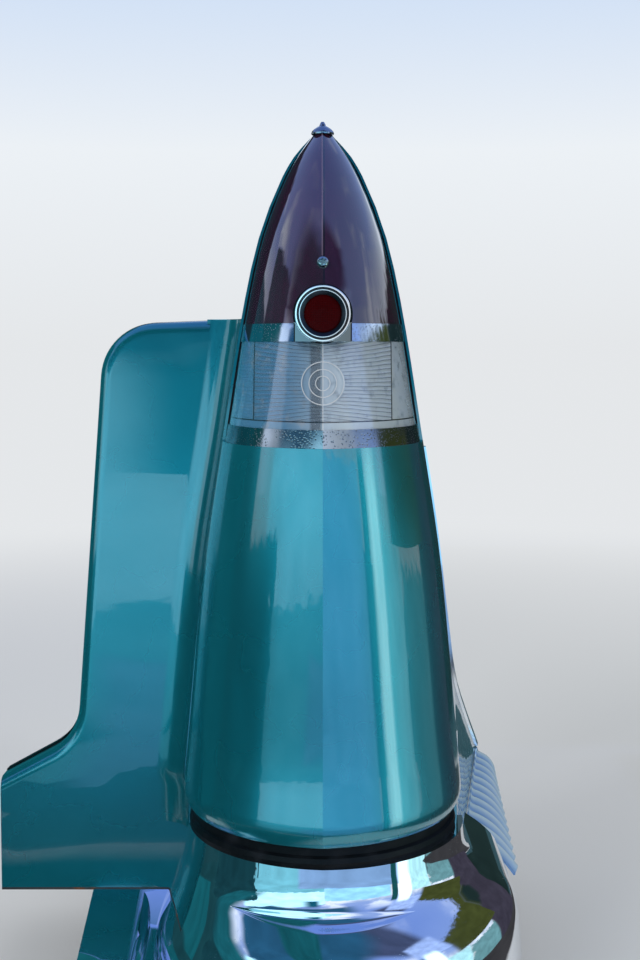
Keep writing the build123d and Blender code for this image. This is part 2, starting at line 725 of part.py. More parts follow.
def bumper_end():
    """Chromed end of the rear bumper: collar and pod under the tower, and the bar's last stretch."""
    high = bar_blank(SEAM_X, BAR_END_X, 0.0, 0.0)
    rounded = [
        e for e in high.edges()
        if abs(e.center().X - BAR_END_X) < 0.01 and e.center().Z > -345 and e.center().Y < BAR_FRONT_Y
    ]
    bar = fillet(rounded, BAR_ROUND) + bar_blank(SEAM_X, -60, TROUGH_DROP, 0.0)
    hollow_x = SEAM_X + CHROME_WALL
    bar_hollow = bar_blank(hollow_x, BAR_END_X - CHROME_WALL - 4, 0.0, CHROME_WALL)
    bar_hollow += bar_blank(hollow_x, -60, TROUGH_DROP, CHROME_WALL)
    below_collar = block(-300, 300, -700, 0, -500, COLLAR_TOP - CHROME_WALL)
    hollow = pod_hull(CHROME_WALL, BUMPER_FRONT_RIGHT + 5) & below_collar
    hollow += bar_hollow
    hollow += block(hollow_x, 100, -480, -200, -380, -355)
    shell = pod_hull(0.0, BUMPER_FRONT_RIGHT) + bar - hollow
    # the body stands behind the left half, the fender's foot behind the right
    body_side = Polyline(
        (filler_y(-100), -100), (filler_y(-400), -400), (-200, -400), (-200, -100), close=True
    )
    shell -= extrude(Plane.YZ.offset(-300) * Face(Wire(body_side)), 340)
    shell -= block(-300, -60, GASKET_FRONT_Y - FOOT_GAP, 0, VALLEY_BOTTOM, -100)
    shell -= flank_hull(-BODY_GAP)
    shell -= block(60, 200, FLANK_REAR_Y, 0, COLLAR_FOOT, -100)
    shell -= loft([
        prow_section(z, BELL_KEEL_Y, BELL_HALF, BELL_HALF, COLLAR_DEPTH, BELL_HALF, BELL_HALF, -300, HEM)
        for z in (COLLAR_TOP - 6, COLLAR_TOP + 1)
    ], ruled=True)
    return max(shell.solids(), key=lambda s: s.volume)


def bumper_bracket():
    """Steel arm from the splice plate to the pod's inside."""
    pad = block(-46, 46, -560, -534, -336, -268) & pod_hull(CHROME_WALL, BUMPER_FRONT_RIGHT)
    arm = block(-4, 4, -536, -PLATE - 8, -322, -262)
    foot = block(-50, 50, -PLATE - 8, -PLATE, -326, -262)
    for x in (-BRACKET_SPACING / 2, BRACKET_SPACING / 2):
        foot -= rod((x, -40, BRACKET_Z), (x, 10, BRACKET_Z), SPLICE_HOLE_R)
    window = Pos(0, -270, -292) * Box(20, 190, 22)
    return pad + arm + foot - window


def stone_guard():
    """Fluted guard flared out from the flank: ribs across it, serrated lower edge."""
    sections = []
    steps = GUARD_RIBS * RIB_STEPS
    for k in range(steps + 1):
        share = k / steps
        y = GUARD_REAR_Y + (GUARD_FRONT_Y - GUARD_REAR_Y) * share
        rise = RIB_RISE * abs(math.sin(math.pi * k / RIB_STEPS))
        bulge = GUARD_BULGE * (1.0 + share)
        root_x = GUARD_ROOT_REAR + (GUARD_ROOT_FRONT - GUARD_ROOT_REAR) * share
        tip_x = GUARD_TIP_REAR + (GUARD_TIP_FRONT - GUARD_TIP_REAR) * share
        top = Vector(root_x, GUARD_TOP - GUARD_DROP * share)
        tip = Vector(tip_x, GUARD_FOOT)
        out = Vector(-(tip.Y - top.Y), tip.X - top.X).normalized()
        mid = top + (tip - top) * 0.52 + out * bulge
        wall = out * -GUARD_WALL
        points = [
            top + out * 0.7 * rise,
            mid + out * rise,
            tip + (out * 0.7 + (tip - mid).normalized() * 0.7) * rise,
            tip + wall,
            mid + wall,
            top + wall,
        ]
        outline = Polyline(*[(p.X, p.Y) for p in points], close=True)
        stood = Plane(origin=(0, y, 0), x_dir=(1, 0, 0), z_dir=(0, -1, 0)) * Face(Wire(outline))
        sections.append(stood)
    guard = loft(sections, ruled=True)
    return guard - flank_hull(0.0)


def edge_moulding():
    """Chrome moulding round the flank's front edge."""
    strip = block(60, 240, -12, 0, -236, 92)
    proud = (fender_hull(-MOULDING_PROUD) & strip) + (flank_hull(-MOULDING_PROUD) & strip)
    return proud - fender_hull(0.0) - flank_hull(0.0)


# Structure behind the sheet

def splice_bulkhead():
    """Plate in the splice plane, with the four bolt holes and its two access openings."""
    slab = block(PLATE_LEFT, 300, -PLATE, 0, FLANK_BOTTOM, 352)
    plate = (fender_hull(SKIN) & slab) + (flank_hull(SKIN) & slab)
    plate += block(PLATE_LEFT, 60, -PLATE, 0, FLANK_BOTTOM, BELL_BOTTOM + 5)
    plate += block(PLATE_LEFT, 60, -PLATE, 0, -326, FLANK_BOTTOM + 1)
    main = Face(Wire(Polyline((-42, -168), (104, -168), (64, 165), (-42, 165), close=True)))
    main = fillet(main.vertices(), 24)
    upper = Face(Wire(Polyline((-36, 232), (42, 232), (22, 300), (-18, 300), close=True)))
    upper = fillet(upper.vertices(), 9)
    for hole in (main, upper):
        plate -= upright(hole, -20, 20)
    for x in (-HOLE_SPACING_X / 2, HOLE_SPACING_X / 2):
        for z in (-HOLE_SPACING_Z / 2, HOLE_SPACING_Z / 2):
            plate -= rod((x, -30, z), (x, 30, z), SPLICE_HOLE_R)
    for x in (-BRACKET_SPACING / 2, BRACKET_SPACING / 2):
        plate -= rod((x, -30, BRACKET_Z), (x, 30, BRACKET_Z), SPLICE_HOLE_R)
    return plate


def trunk_floor():
    """Floor strip from the filler panel's foot to the splice plate, with pressed beads."""
    inside = flank_hull(SKIN) + block(FILLER_LEFT, 60, -600, 0, -400, 0)
    floor = block(FILLER_LEFT, 200, FILLER_FOOT_Y, -PLATE, FILLER_BOTTOM - SKIN, FILLER_BOTTOM)
    floor = floor & inside
    for x in BEADS_X:
        ridge = rod((x, -320, FILLER_BOTTOM), (x, -45, FILLER_BOTTOM), BEAD_R)
        hollow = rod((x, -320 + SKIN, FILLER_BOTTOM), (x, -45 - SKIN, FILLER_BOTTOM), BEAD_R - SKIN)
        above = block(-300, 300, -400, 0, FILLER_BOTTOM - SKIN, 0)
        floor = floor + (ridge & above) - hollow
    return floor


def deck_gutter():
    """Channel along the foot of the fin, under the trunk lid's edge."""
    y0 = filler_y(222) + EDGE_FLANGE - 1
    outer = block(-82, -50, y0, 0, 210, 220)
    trough = block(-80.2, -50, y0 - 1, 1, 211.8, 230)
    channel = outer - trough + block(-70, -50, y0, 0, 210, 218)
    return channel - fender_hull(0.0)


def trunk_weatherstrip():
    """Rubber seal on the rolled edge of the trunk opening."""
    y0 = FILLER_FOOT_Y + EDGE_FLANGE
    strip = upright(opening_outline(-1.0), y0, y0 + SEAL_HEIGHT) - upright(
        opening_outline(7.0), y0 - 1, y0 + SEAL_HEIGHT + 1
    )
    strip = lean(strip)
    strip -= block(-93, 0, -500, 0, -400, 400)
    strip -= block(-300, FILLER_LEFT, -500, 0, -400, 400)
    return strip - block(-300, 0, -500, 0, -400, EDGE_LOW_LEFT[1] - 20)


PIECES = {
    "fender_skin": fender_skin,
    "filler_panel": filler_panel,
    "splice_bulkhead": splice_bulkhead,
    "trunk_floor": trunk_floor,
    "deck_gutter": deck_gutter,
    "trunk_weatherstrip": trunk_weatherstrip,
    "edge_moulding": edge_moulding,
    "stone_guard": stone_guard,
    "lamp_lower_band": lambda: lamp_band(TOWER_TOP, CLEAR_BOTTOM, BAND_PROUD),
    "clear_lens": clear_lens,
    "lamp_upper_band": lambda: lamp_band(CLEAR_TOP, RED_BOTTOM, BAND_PROUD),
    "red_lens": red_lens,
    "lens_gasket": lens_gasket,
    "lamp_pan": lamp_pan,
    "lamp_divider": lamp_divider,
    "finial": finial,
    "lens_screw": lens_screw,
    "reflector_bezel": reflector_bezel,
    "red_reflector": red_reflector,
    "base_gasket": base_gasket,
    "bumper_end": bumper_end,
    "bumper_bracket": bumper_bracket,
}
for chamber, height in CHAMBERS:
    PIECES[f"{chamber}_bowl"] = lambda z=height: reflector_bowl(z)
    PIECES[f"{chamber}_socket"] = lambda z=height: socket(z)
    PIECES[f"{chamber}_bulb"] = lambda z=height: bulb(z)

for node, make in PIECES.items():
    piece = make()
    print(node, round(piece.volume), piece.is_valid, len(piece.solids()), flush=True)
    export_step(piece, f"parts/{node}.step")
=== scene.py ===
import math

import bpy
from mathutils import Matrix, Vector
from mathutils.bvhtree import BVHTree


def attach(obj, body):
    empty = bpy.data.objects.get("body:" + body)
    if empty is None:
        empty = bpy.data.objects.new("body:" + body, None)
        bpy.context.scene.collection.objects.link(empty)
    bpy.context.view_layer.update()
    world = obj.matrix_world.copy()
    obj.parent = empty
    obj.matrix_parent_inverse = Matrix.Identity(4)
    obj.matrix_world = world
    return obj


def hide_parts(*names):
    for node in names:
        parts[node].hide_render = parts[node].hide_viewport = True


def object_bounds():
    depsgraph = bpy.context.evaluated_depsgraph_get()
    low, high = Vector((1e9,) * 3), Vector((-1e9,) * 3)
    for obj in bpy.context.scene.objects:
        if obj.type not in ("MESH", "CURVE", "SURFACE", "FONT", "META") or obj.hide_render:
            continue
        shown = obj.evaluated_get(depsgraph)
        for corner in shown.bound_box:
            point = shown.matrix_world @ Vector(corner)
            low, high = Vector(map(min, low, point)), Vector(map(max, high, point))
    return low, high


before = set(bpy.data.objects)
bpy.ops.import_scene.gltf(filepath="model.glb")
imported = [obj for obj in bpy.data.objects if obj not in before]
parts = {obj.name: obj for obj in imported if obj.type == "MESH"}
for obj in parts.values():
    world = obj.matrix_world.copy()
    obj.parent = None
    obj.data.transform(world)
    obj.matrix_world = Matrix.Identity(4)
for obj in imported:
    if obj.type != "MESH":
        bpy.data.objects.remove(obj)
cad_low, cad_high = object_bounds()

# Place to look from, light and floor.
# The camera stands straight behind the corner, level with the clear lens, and looks slightly down.
# Three soft lamps and a sky light it over a pale floor.
CAMERA_PLACE = (-0.002, -1.433, 0.200)
CAMERA_TILT = math.radians(84.22)
FLOOR_HEIGHT = cad_low.z - 0.012

camera_data = bpy.data.cameras.new("camera")
camera_data.sensor_fit = "VERTICAL"
camera_data.sensor_height = 36.0
camera_data.lens = 50.0
camera_data.clip_start = 0.01
camera_data.clip_end = 60.0
camera = bpy.data.objects.new("camera", camera_data)
camera.location = CAMERA_PLACE
camera.rotation_euler = (CAMERA_TILT, 0.0, 0.0)
bpy.context.collection.objects.link(camera)
bpy.context.scene.camera = camera
bpy.context.scene.view_settings.view_transform = "Standard"


def soft_lamp(name, place, aim, width, height, power):
    """Rectangular lamp turned to a point."""
    data = bpy.data.lights.new(name, "AREA")
    data.shape = "RECTANGLE"
    data.size = width
    data.size_y = height
    data.energy = power
    lamp = bpy.data.objects.new(name, data)
    lamp.location = place
    lamp.rotation_euler = (Vector(aim) - Vector(place)).to_track_quat("-Z", "Y").to_euler()
    lamp.visible_glossy = False
    bpy.context.collection.objects.link(lamp)


soft_lamp("lamp_left", (-1.5, -2.3, 1.3), (0.0, -0.35, 0.0), 1.0, 1.9, 46.0)
soft_lamp("lamp_right", (1.9, -1.5, 0.9), (0.0, -0.35, 0.0), 0.30, 1.9, 12.0)
soft_lamp("lamp_front", (0.8, 1.8, 1.9), (0.0, -0.2, 0.0), 1.4, 1.0, 20.0)


def fill(tree, node, values):
    """Sets a node's inputs, by name or number, to values or to outputs of other nodes."""
    for label, value in values.items():
        if isinstance(value, bpy.types.NodeSocket):
            tree.links.new(value, node.inputs[label])
        else:
            node.inputs[label].default_value = value


def add(tree, kind, values, **settings):
    """New shader node with its settings and inputs. Returns its outputs."""
    node = tree.nodes.new("ShaderNode" + kind)
    for label, value in settings.items():
        setattr(node, label, value)
    fill(tree, node, values)
    return node.outputs


def sum_up(tree, operation, *values):
    """One step of arithmetic on numbers and outputs."""
    return add(tree, "Math", dict(enumerate(values)), operation=operation)[0]


def step_range(tree, value, start, end, first=0.0, last=1.0, kind="SMOOTHSTEP"):
    """Turns what lies between start and end into what lies between first and last."""
    ends = {"From Min": start, "From Max": end, "To Min": first, "To Max": last}
    return add(tree, "MapRange", {"Value": value, **ends}, interpolation_type=kind)["Result"]


def noise(tree, place, scale, detail, distortion=0.0):
    """Cloudy pattern from 0 to 1."""
    values = {"Vector": place, "Scale": scale, "Detail": detail, "Distortion": distortion}
    return add(tree, "TexNoise", values)["Fac"]


def mix_colour(tree, share, first, second):
    """Colour between two colours or outputs by a mask."""
    first, second = ((*value, 1.0) if isinstance(value, tuple) else value for value in (first, second))
    return add(tree, "Mix", {0: share, 6: first, 7: second}, data_type="RGBA")[2]


def mix_shader(tree, share, first, second):
    """Shader between two shaders by a mask."""
    return add(tree, "MixShader", {"Fac": share, 1: first, 2: second})["Shader"]


def seen_rays(tree):
    """Mask of the rays from the camera, from polished surfaces and through glass."""
    rays = add(tree, "LightPath", {})
    seen = sum_up(tree, "MAXIMUM", rays["Is Camera Ray"], rays["Is Glossy Ray"])
    return sum_up(tree, "MAXIMUM", seen, rays["Is Transmission Ray"])


# The sky as rays from camera, metal and glass see it: pale at the horizon, blue overhead.
# Height of the direction from straight down, 0, to straight up, 1, with the colour there.
SKY = [
    (0.50, (0.78, 0.80, 0.82)),
    (0.57, (0.84, 0.88, 0.92)),
    (0.63, (0.62, 0.74, 0.92)),
    (0.70, (0.32, 0.47, 0.90)),
    (1.00, (0.15, 0.28, 0.78)),
]
CLOUD = (1.05, 1.18, 1.40)
SKY_LIGHT = (0.92, 0.96, 1.0, 1.0)
world = bpy.data.worlds.new("sky")
bpy.context.scene.world = world
world.use_nodes = True
sky = world.node_tree
sky.nodes.clear()
way = add(sky, "TexCoord", {})["Generated"]
climb = step_range(sky, add(sky, "SeparateXYZ", {"Vector": way})["Z"], -1.0, 1.0, kind="LINEAR")
ramp = sky.nodes.new("ShaderNodeValToRGB")
fill(sky, ramp, {"Fac": climb})
steps = ramp.color_ramp.elements
steps[0].position, steps[1].position = SKY[0][0], SKY[-1][0]
for position, colour in SKY[1:-1]:
    steps.new(position)
for step, (position, colour) in zip(steps, SKY):
    step.color = (*colour, 1.0)
# thin clouds, which only polished surfaces see, thinner overhead
cover = step_range(sky, noise(sky, way, 2.6, 9.0, 0.5), 0.47, 0.66)
veil = sum_up(sky, "MULTIPLY", cover, add(sky, "LightPath", {})["Is Glossy Ray"])
cloud_share = sum_up(sky, "MULTIPLY", veil, step_range(sky, climb, 0.70, 0.86, 1.0, 0.18))
clouded = mix_colour(sky, cloud_share, ramp.outputs["Color"], CLOUD)
sky_seen = add(sky, "Background", {"Color": clouded})["Background"]
sky_light = add(sky, "Background", {"Color": SKY_LIGHT, "Strength": 0.45})["Background"]
add(sky, "OutputWorld", {"Surface": mix_shader(sky, seen_rays(sky), sky_light, sky_seen)})


def deselect():
    """Leaves nothing selected and nothing active."""
    bpy.ops.object.select_all(action="DESELECT")
    bpy.context.view_layer.objects.active = None


def new_finish(name):
    """Material, its node tree, its shader, and the object coordinates that its patterns read."""
    material = bpy.data.materials.new(name)
    material.use_nodes = True
    tree = material.node_tree
    return material, tree, tree.nodes["Principled BSDF"], add(tree, "TexCoord", {})["Object"]


def wear(material, *names):
    """Gives a finish to whole CAD nodes or pieces."""
    for name in names:
        piece = parts[name] if isinstance(name, str) else name
        piece.data.materials.clear()
        piece.data.materials.append(material)


# The floor fades into the horizon's colour between two distances, so that no edge shows
deselect()
bpy.ops.mesh.primitive_plane_add(size=60.0, location=(0.0, 0.0, FLOOR_HEIGHT))
floor = bpy.context.active_object
floor.name = "floor"
pale, tree, shader, place = new_finish("pale_floor")
fill(tree, shader, {"Base Color": (0.74, 0.75, 0.76, 1.0), "Roughness": 0.75})
far = step_range(tree, add(tree, "VectorMath", {0: place}, operation="LENGTH")["Value"], 0.7, 3.0)
even = add(tree, "Emission", {"Color": (*SKY[0][1], 1.0)})["Emission"]
far_seen = sum_up(tree, "MULTIPLY", seen_rays(tree), far)
floor_shader = mix_shader(tree, far_seen, shader.outputs["BSDF"], even)
fill(tree, tree.nodes["Material Output"], {"Surface": floor_shader})
wear(pale, floor)


def card_finish(name, colour, soft, ragged, sway=0.0):
    """Colour that fades out at the card's edges, with a ragged top and swaying sides if asked for."""
    material, tree, shader, place = new_finish(name)
    tree.nodes.remove(shader)
    axes = add(tree, "SeparateXYZ", {"Vector": place})
    aside = sum_up(tree, "ABSOLUTE", axes["X"])
    up = sum_up(tree, "ABSOLUTE", axes["Y"])
    if ragged > 0.0:
        up = sum_up(tree, "MULTIPLY_ADD", noise(tree, place, 16.0, 5.0), ragged, axes["Y"])
    if sway > 0.0:
        bent = sum_up(tree, "MULTIPLY_ADD", noise(tree, place, 6.0, 6.0), sway, aside)
        aside = sum_up(tree, "SUBTRACT", bent, sway / 2)
    fades = [step_range(tree, off, 0.5 - soft, 0.5, 1.0, 0.0) for off in (aside, up)]
    mottle = step_range(tree, noise(tree, place, 5.0, 7.0), 0.3, 0.7, 0.80, 1.25, "LINEAR")
    lit = add(tree, "Emission", {"Color": (*colour, 1.0), "Strength": mottle})["Emission"]
    clear_edge = add(tree, "BsdfTransparent", {})["BSDF"]
    fading = mix_shader(tree, sum_up(tree, "MULTIPLY", *fades), clear_edge, lit)
    fill(tree, tree.nodes["Material Output"], {"Surface": fading})
    return material


def stage_card(name, centre, size, turn, finish):
    """Card that only polished surfaces see."""
    deselect()
    bpy.ops.mesh.primitive_plane_add(size=1.0, location=centre)
    card = bpy.context.active_object
    card.name = name
    card.scale = (*size, 1.0)
    card.rotation_euler = turn
    card.visible_camera = False
    card.visible_shadow = False
    card.visible_diffuse = False
    wear(finish, card)


# Standing cards round the tower, which give paint and chrome their dark, pale and blue bands:
# name, from and to in degrees right of straight behind, low and high edge, distance, colour,
# soft edge as a share, ragged top
CARDS = [
    ("card_left_band", -24.0, -4.0, 0.08, 0.42, 1.10, (0.008, 0.120, 0.200), 0.42, 0.10),
    ("card_left", -68.0, 1.5, -0.45, -0.09, 1.15, (0.200, 0.620, 0.780), 0.05, 0.24),
    ("card_collar", -25.0, 74.0, -0.45, -0.19, 0.72, (0.250, 0.440, 0.760), 0.06, 0.10),
    ("card_left_sky", -69.0, 2.0, -0.30, 0.42, 1.22, (0.720, 1.350, 1.650), 0.08, 0.10),
    ("card_left_dark", -91.0, -53.0, -0.45, 0.05, 0.85, (0.008, 0.050, 0.066), 0.05, 0.12),
    ("card_left_body", -128.0, -80.0, -0.45, 0.30, 0.95, (0.010, 0.060, 0.075), 0.04, 0.10),
    ("card_left_high", -112.0, -82.0, 0.18, 0.72, 0.85, (0.010, 0.110, 0.125), 0.08, 0.10),
    ("card_left_front", -165.0, -126.0, -0.30, 1.00, 0.90, (0.012, 0.030, 0.040), 0.06, 0.10),
    ("card_right", -1.5, 52.0, -0.45, 0.22, 1.20, (0.400, 0.900, 1.400), 0.05, 0.20),
    ("card_streak_dark", 50.0, 55.0, -0.45, 0.20, 0.80, (0.010, 0.090, 0.100), 0.12, 0.0),
    ("card_streak_pale", 54.5, 67.0, -0.45, 0.30, 0.80, (2.20, 2.90, 2.90), 0.30, 0.0),
    ("card_right_mid", 64.0, 84.0, -0.45, 0.10, 0.95, (0.560, 1.050, 1.150), 0.10, 0.24),
    ("card_right_edge", 82.0, 112.0, -0.45, 0.04, 0.93, (0.160, 0.360, 0.400), 0.08, 0.24),
    ("card_right_high", 50.0, 78.0, 0.20, 0.74, 0.88, (0.420, 0.600, 1.100), 0.16, 0.10),
    ("card_olive", 74.0, 120.0, 0.00, 0.56, 0.86, (0.060, 0.075, 0.022), 0.10, 0.35),
    ("card_right_dark", 108.0, 140.0, -0.45, 0.25, 0.90, (0.050, 0.046, 0.070), 0.08, 0.10),
    ("card_right_front", 116.0, 165.0, -0.30, 0.50, 0.92, (0.014, 0.030, 0.030), 0.06, 0.10),
    ("card_far_right", 158.0, 177.0, -0.36, 1.10, 1.60, (0.060, 0.105, 0.130), 0.08, 0.10),
]
SWAY = {"card_left_dark": 0.55, "card_right_mid": 0.40, "card_right_edge": 0.30}
CARDS_AXIS_Y = -0.39
for name, start, end, low_edge, high_edge, distance, colour, soft, ragged in CARDS:
    middle = math.radians((start + end) / 2)
    width = 2.0 * distance * math.tan(math.radians((end - start) / 2))
    x = distance * math.sin(middle)
    y = CARDS_AXIS_Y - distance * math.cos(middle)
    stage_card(
        name,
        (x, y, (low_edge + high_edge) / 2),
        (width, high_edge - low_edge),
        (math.pi / 2, 0.0, middle),
        card_finish(name, colour, soft, ragged, SWAY.get(name, 0.0)),
    )

# Cards for what lies below, beside and over the corner: name, centre, size, tilt, colour,
# soft edge as a share
GROUND = FLOOR_HEIGHT + 0.002
AROUND = [
    ("card_ground", (0.0, -3.95, GROUND), (8.0, 6.2), 0.0, (0.050, 0.060, 0.080), 0.02),
    ("card_ground_left", (-1.45, -0.35, GROUND), (2.0, 1.6), 0.0, (0.012, 0.060, 0.075), 0.02),
    ("card_ground_right", (1.30, -0.35, GROUND), (1.8, 1.6), 0.0, (0.045, 0.045, 0.050), 0.02),
    ("card_ground_front", (0.85, 1.45, GROUND), (1.5, 2.0), 0.0, (0.040, 0.090, 0.110), 0.02),
    ("card_near_left", (-0.62, -0.30, 0.03), (0.88, 0.56), math.pi / 2, (0.008, 0.120, 0.150), 0.02),
    ("card_ground_near", (-0.36, -0.66, GROUND), (0.66, 0.56), 0.0, (0.008, 0.060, 0.075), 0.15),
    ("card_pod_shade", (-0.55, -1.02, 0.45), (2.00, 0.66), 0.61, (0.021, 0.107, 0.216), 0.12),
    ("card_high", (0.55, -0.945, 0.91), (2.00, 0.70), 0.66, (0.060, 0.085, 0.180), 0.25),
    ("card_over_left", (-0.33, -0.78, 0.42), (0.46, 0.72), 0.0, (0.008, 0.100, 0.130), 0.15),
    ("card_bar", (-0.39, -0.56, -0.15), (0.38, 0.26), 0.3, (0.010, 0.120, 0.155), 0.22),
]
for name, centre, size, tilt, colour, soft in AROUND:
    stage_card(name, centre, size, (tilt, 0.0, 0.0), card_finish(name, colour, soft, 0.0))

# Splice plate, floor strip and bumper arm.
# Pressed and cut mild steel, primed and brushed over with satin black. The plate carries
# the whole corner; the arm is bolted to it and welded to its pad inside the bumper.


def new_group(name, given, results):
    """Shader group on a place, with named sockets. Returns it, its inputs and its output node."""
    group = bpy.data.node_groups.new(name, "ShaderNodeTree")
    for label, value in {"Place": None, **given}.items():
        kind = "NodeSocketVector" if value is None else "NodeSocketFloat"
        socket = group.interface.new_socket(name=label, in_out="INPUT", socket_type=kind)
        if value is not None:
            socket.default_value = value
    for label in results:
        kind = "NodeSocketVector" if label == "Normal" else "NodeSocketFloat"
        group.interface.new_socket(name=label, in_out="OUTPUT", socket_type=kind)
    entry = group.nodes.new("NodeGroupInput")
    return group, entry.outputs, group.nodes.new("NodeGroupOutput")


def use_group(tree, group, place, **values):
    """Places a group in a material on the given coordinates. Returns its outputs."""
    return add(tree, "Group", {"Place": place, **values}, node_tree=group)


def spread(tree, mask, low, high):
    """Mask from 0 to 1 turned into a value between two ends."""
    return step_range(tree, mask, 0.0, 1.0, low, high, "LINEAR")


def relief(tree, height, strength, distance, over=None):
    """Normal of a bump from a height, on top of another normal if one is given."""
    values = {"Height": height, "Strength": strength, "Distance": distance}
    if over is not None:
        values["Normal"] = over
    return add(tree, "Bump", values)["Normal"]


# Blotches: soft patches that cover a share of the surface. Start and End are the noise levels
# between which they fade in.
blotches, given, made = new_group(
    "blotches", {"Size": 40.0, "Detail": 5.0, "Start": 0.5, "End": 0.7}, ["Mask"]
)
cloud = noise(blotches, given["Place"], given["Size"], given["Detail"])
fill(blotches, made, {"Mask": step_range(blotches, cloud, given["Start"], given["End"])})


def patches(tree, place, size, detail, start, end):
    """Mask of the blotches."""
    return use_group(tree, blotches, place, Size=size, Detail=detail, Start=start, End=end)["Mask"]


black, tree, shader, place = new_finish("satin_black_steel")
rust = patches(tree, place, 55.0, 9.0, 0.60, 0.68)
sheen = patches(tree, place, 14.0, 4.0, 0.3, 0.75)
grain = patches(tree, place, 900.0, 3.0, 0.2, 0.8)
coat = mix_colour(tree, sheen, (0.020, 0.021, 0.023), (0.042, 0.043, 0.045))
black_look = {
    "Base Color": mix_colour(tree, rust, coat, (0.11, 0.045, 0.02)),
    "Roughness": spread(tree, rust, 0.42, 0.85),
    "Normal": relief(tree, grain, 0.25, 0.0004),
}
fill(tree, shader, black_look)
wear(black, "splice_bulkhead", "trunk_floor", "bumper_bracket")


def finish_piece(name, finish, angle=40.0):
    """Fixes place and turn of the active piece, shades it, sets its finish and ties it to the body."""
    piece = bpy.context.active_object
    piece.name = name
    piece.data.name = name
    bpy.ops.object.transform_apply(location=True, rotation=True, scale=True)
    bpy.ops.object.shade_smooth_by_angle(angle=math.radians(angle))
    wear(finish, piece)
    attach(piece, "root")
    return piece


def repeat_piece(piece, moves):
    """Further pieces like this one, each with its own mesh, moved by the given lengths."""
    for number, move in enumerate(moves, start=2):
        twin = piece.copy()
        twin.data = piece.data.copy()
        twin.name = f"{piece.name}_{number}"
        twin.data.name = twin.name
        twin.data.transform(Matrix.Translation(move))
        bpy.context.collection.objects.link(twin)
        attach(twin, "root")


def step_end(axis, steps):
    """Narrows and shifts an end of the active piece, once for each step. Axis 1 is y, 2 is height."""
    bpy.ops.object.mode_set(mode="EDIT")
    bpy.ops.mesh.select_mode(type="FACE")
    bpy.ops.mesh.select_all(action="DESELECT")
    bpy.ops.object.mode_set(mode="OBJECT")
    for face in bpy.context.active_object.data.polygons:
        face.select = face.normal[axis] > 0.9
    bpy.ops.object.mode_set(mode="EDIT")
    for narrower, shift in steps:
        bpy.ops.mesh.inset(thickness=narrower)
        bpy.ops.transform.translate(value=[shift if way == axis else 0.0 for way in range(3)])
    bpy.ops.object.mode_set(mode="OBJECT")


# Weld beads: two runs down the arm at its foot, two at its pad, laid in short overlapping scales
WELD_R = 0.0032
WELD_LENGTH = 0.052
WELD_FOOT = -0.318
WELD_PLACE = (0.004, -0.0135, -0.292)
WELD_STEPS = 22
ARM_WIDTH = 0.008
FOOT_TO_PAD = 0.5200
deselect()
bpy.ops.mesh.primitive_cylinder_add(
    vertices=12, radius=WELD_R, depth=WELD_LENGTH, end_fill_type="TRIFAN", location=WELD_PLACE
)
bead = bpy.context.active_object
bpy.ops.object.mode_set(mode="EDIT")
for number in range(1, WELD_STEPS):
    cut = (0.0, 0.0, WELD_FOOT + WELD_LENGTH * number / WELD_STEPS)
    bpy.ops.mesh.select_all(action="SELECT")
    bpy.ops.mesh.bisect(plane_co=cut, plane_no=(0.0, 0.0, 1.0))
bpy.ops.object.mode_set(mode="OBJECT")
for point in bead.data.vertices:
    # each scale swells over two steps, then the next one starts narrow again
    scale_share = ((point.co.z + WELD_LENGTH / 2) / WELD_LENGTH * WELD_STEPS / 2) % 1.0
    swell = 0.86 + 0.22 * scale_share
    point.co.x *= swell
    point.co.y *= swell
bead = finish_piece("bracket_weld", black, angle=60.0)
to_other_side = Vector((-ARM_WIDTH, 0.0, 0.0))
to_pad = Vector((0.0, -FOOT_TO_PAD, 0.0))
repeat_piece(bead, [to_other_side, to_pad, to_other_side + to_pad])

# Spot welds: shallow dimples along the floor strip's two ends
SPOTS_X = [-0.245 + 0.028 * number for number in range(11)]
SPOT_ROWS_APART = 0.335
deselect()
bpy.ops.mesh.primitive_cylinder_add(
    vertices=14, radius=0.0036, depth=0.0010, location=(SPOTS_X[0], -0.352, -0.2459)
)
step_end(2, [(0.0007, 0.0), (0.0005, -0.0004)])
spot = finish_piece("floor_spot_weld", black)
rear_row = [(x - SPOTS_X[0], 0.0, 0.0) for x in SPOTS_X[1:]]
front_row = [(x - SPOTS_X[0], SPOT_ROWS_APART, 0.0) for x in SPOTS_X]
repeat_piece(spot, rear_row + front_row)

# Fender skin, filler panel and gutter.
# Deep-drawn body steel, sprayed with a teal metallic under clear lacquer and polished. The filler
# panel is welded to the tower along the valley, and the gutter to the fin's foot.
TEAL = (0.006, 0.250, 0.310)
TEAL_DEEP = (0.004, 0.200, 0.255)
TEAL_DUSTY = (0.012, 0.245, 0.300)
FLAKE_GLINT = (0.03, 0.45, 0.50)

# Metal flakes: each small cell of the paint leans its own way. Size is flakes a metre.
flakes, given, made = new_group(
    "metal_flakes", {"Normal": None, "Size": 1500.0, "Lean": 0.3}, ["Normal", "Shade"]
)
cell = add(flakes, "TexVoronoi", {"Vector": given["Place"], "Scale": given["Size"]})["Color"]
centred = add(flakes, "VectorMath", {0: cell, 1: (0.5, 0.5, 0.5)}, operation="SUBTRACT")[0]
scaled = add(flakes, "VectorMath", {0: centred, "Scale": given["Lean"]}, operation="SCALE")[0]
added = add(flakes, "VectorMath", {0: scaled, 1: given["Normal"]}, operation="ADD")[0]
unit = add(flakes, "VectorMath", {0: added}, operation="NORMALIZE")[0]
fill(flakes, made, {"Normal": unit, "Shade": add(flakes, "SeparateColor", {"Color": cell})["Red"]})

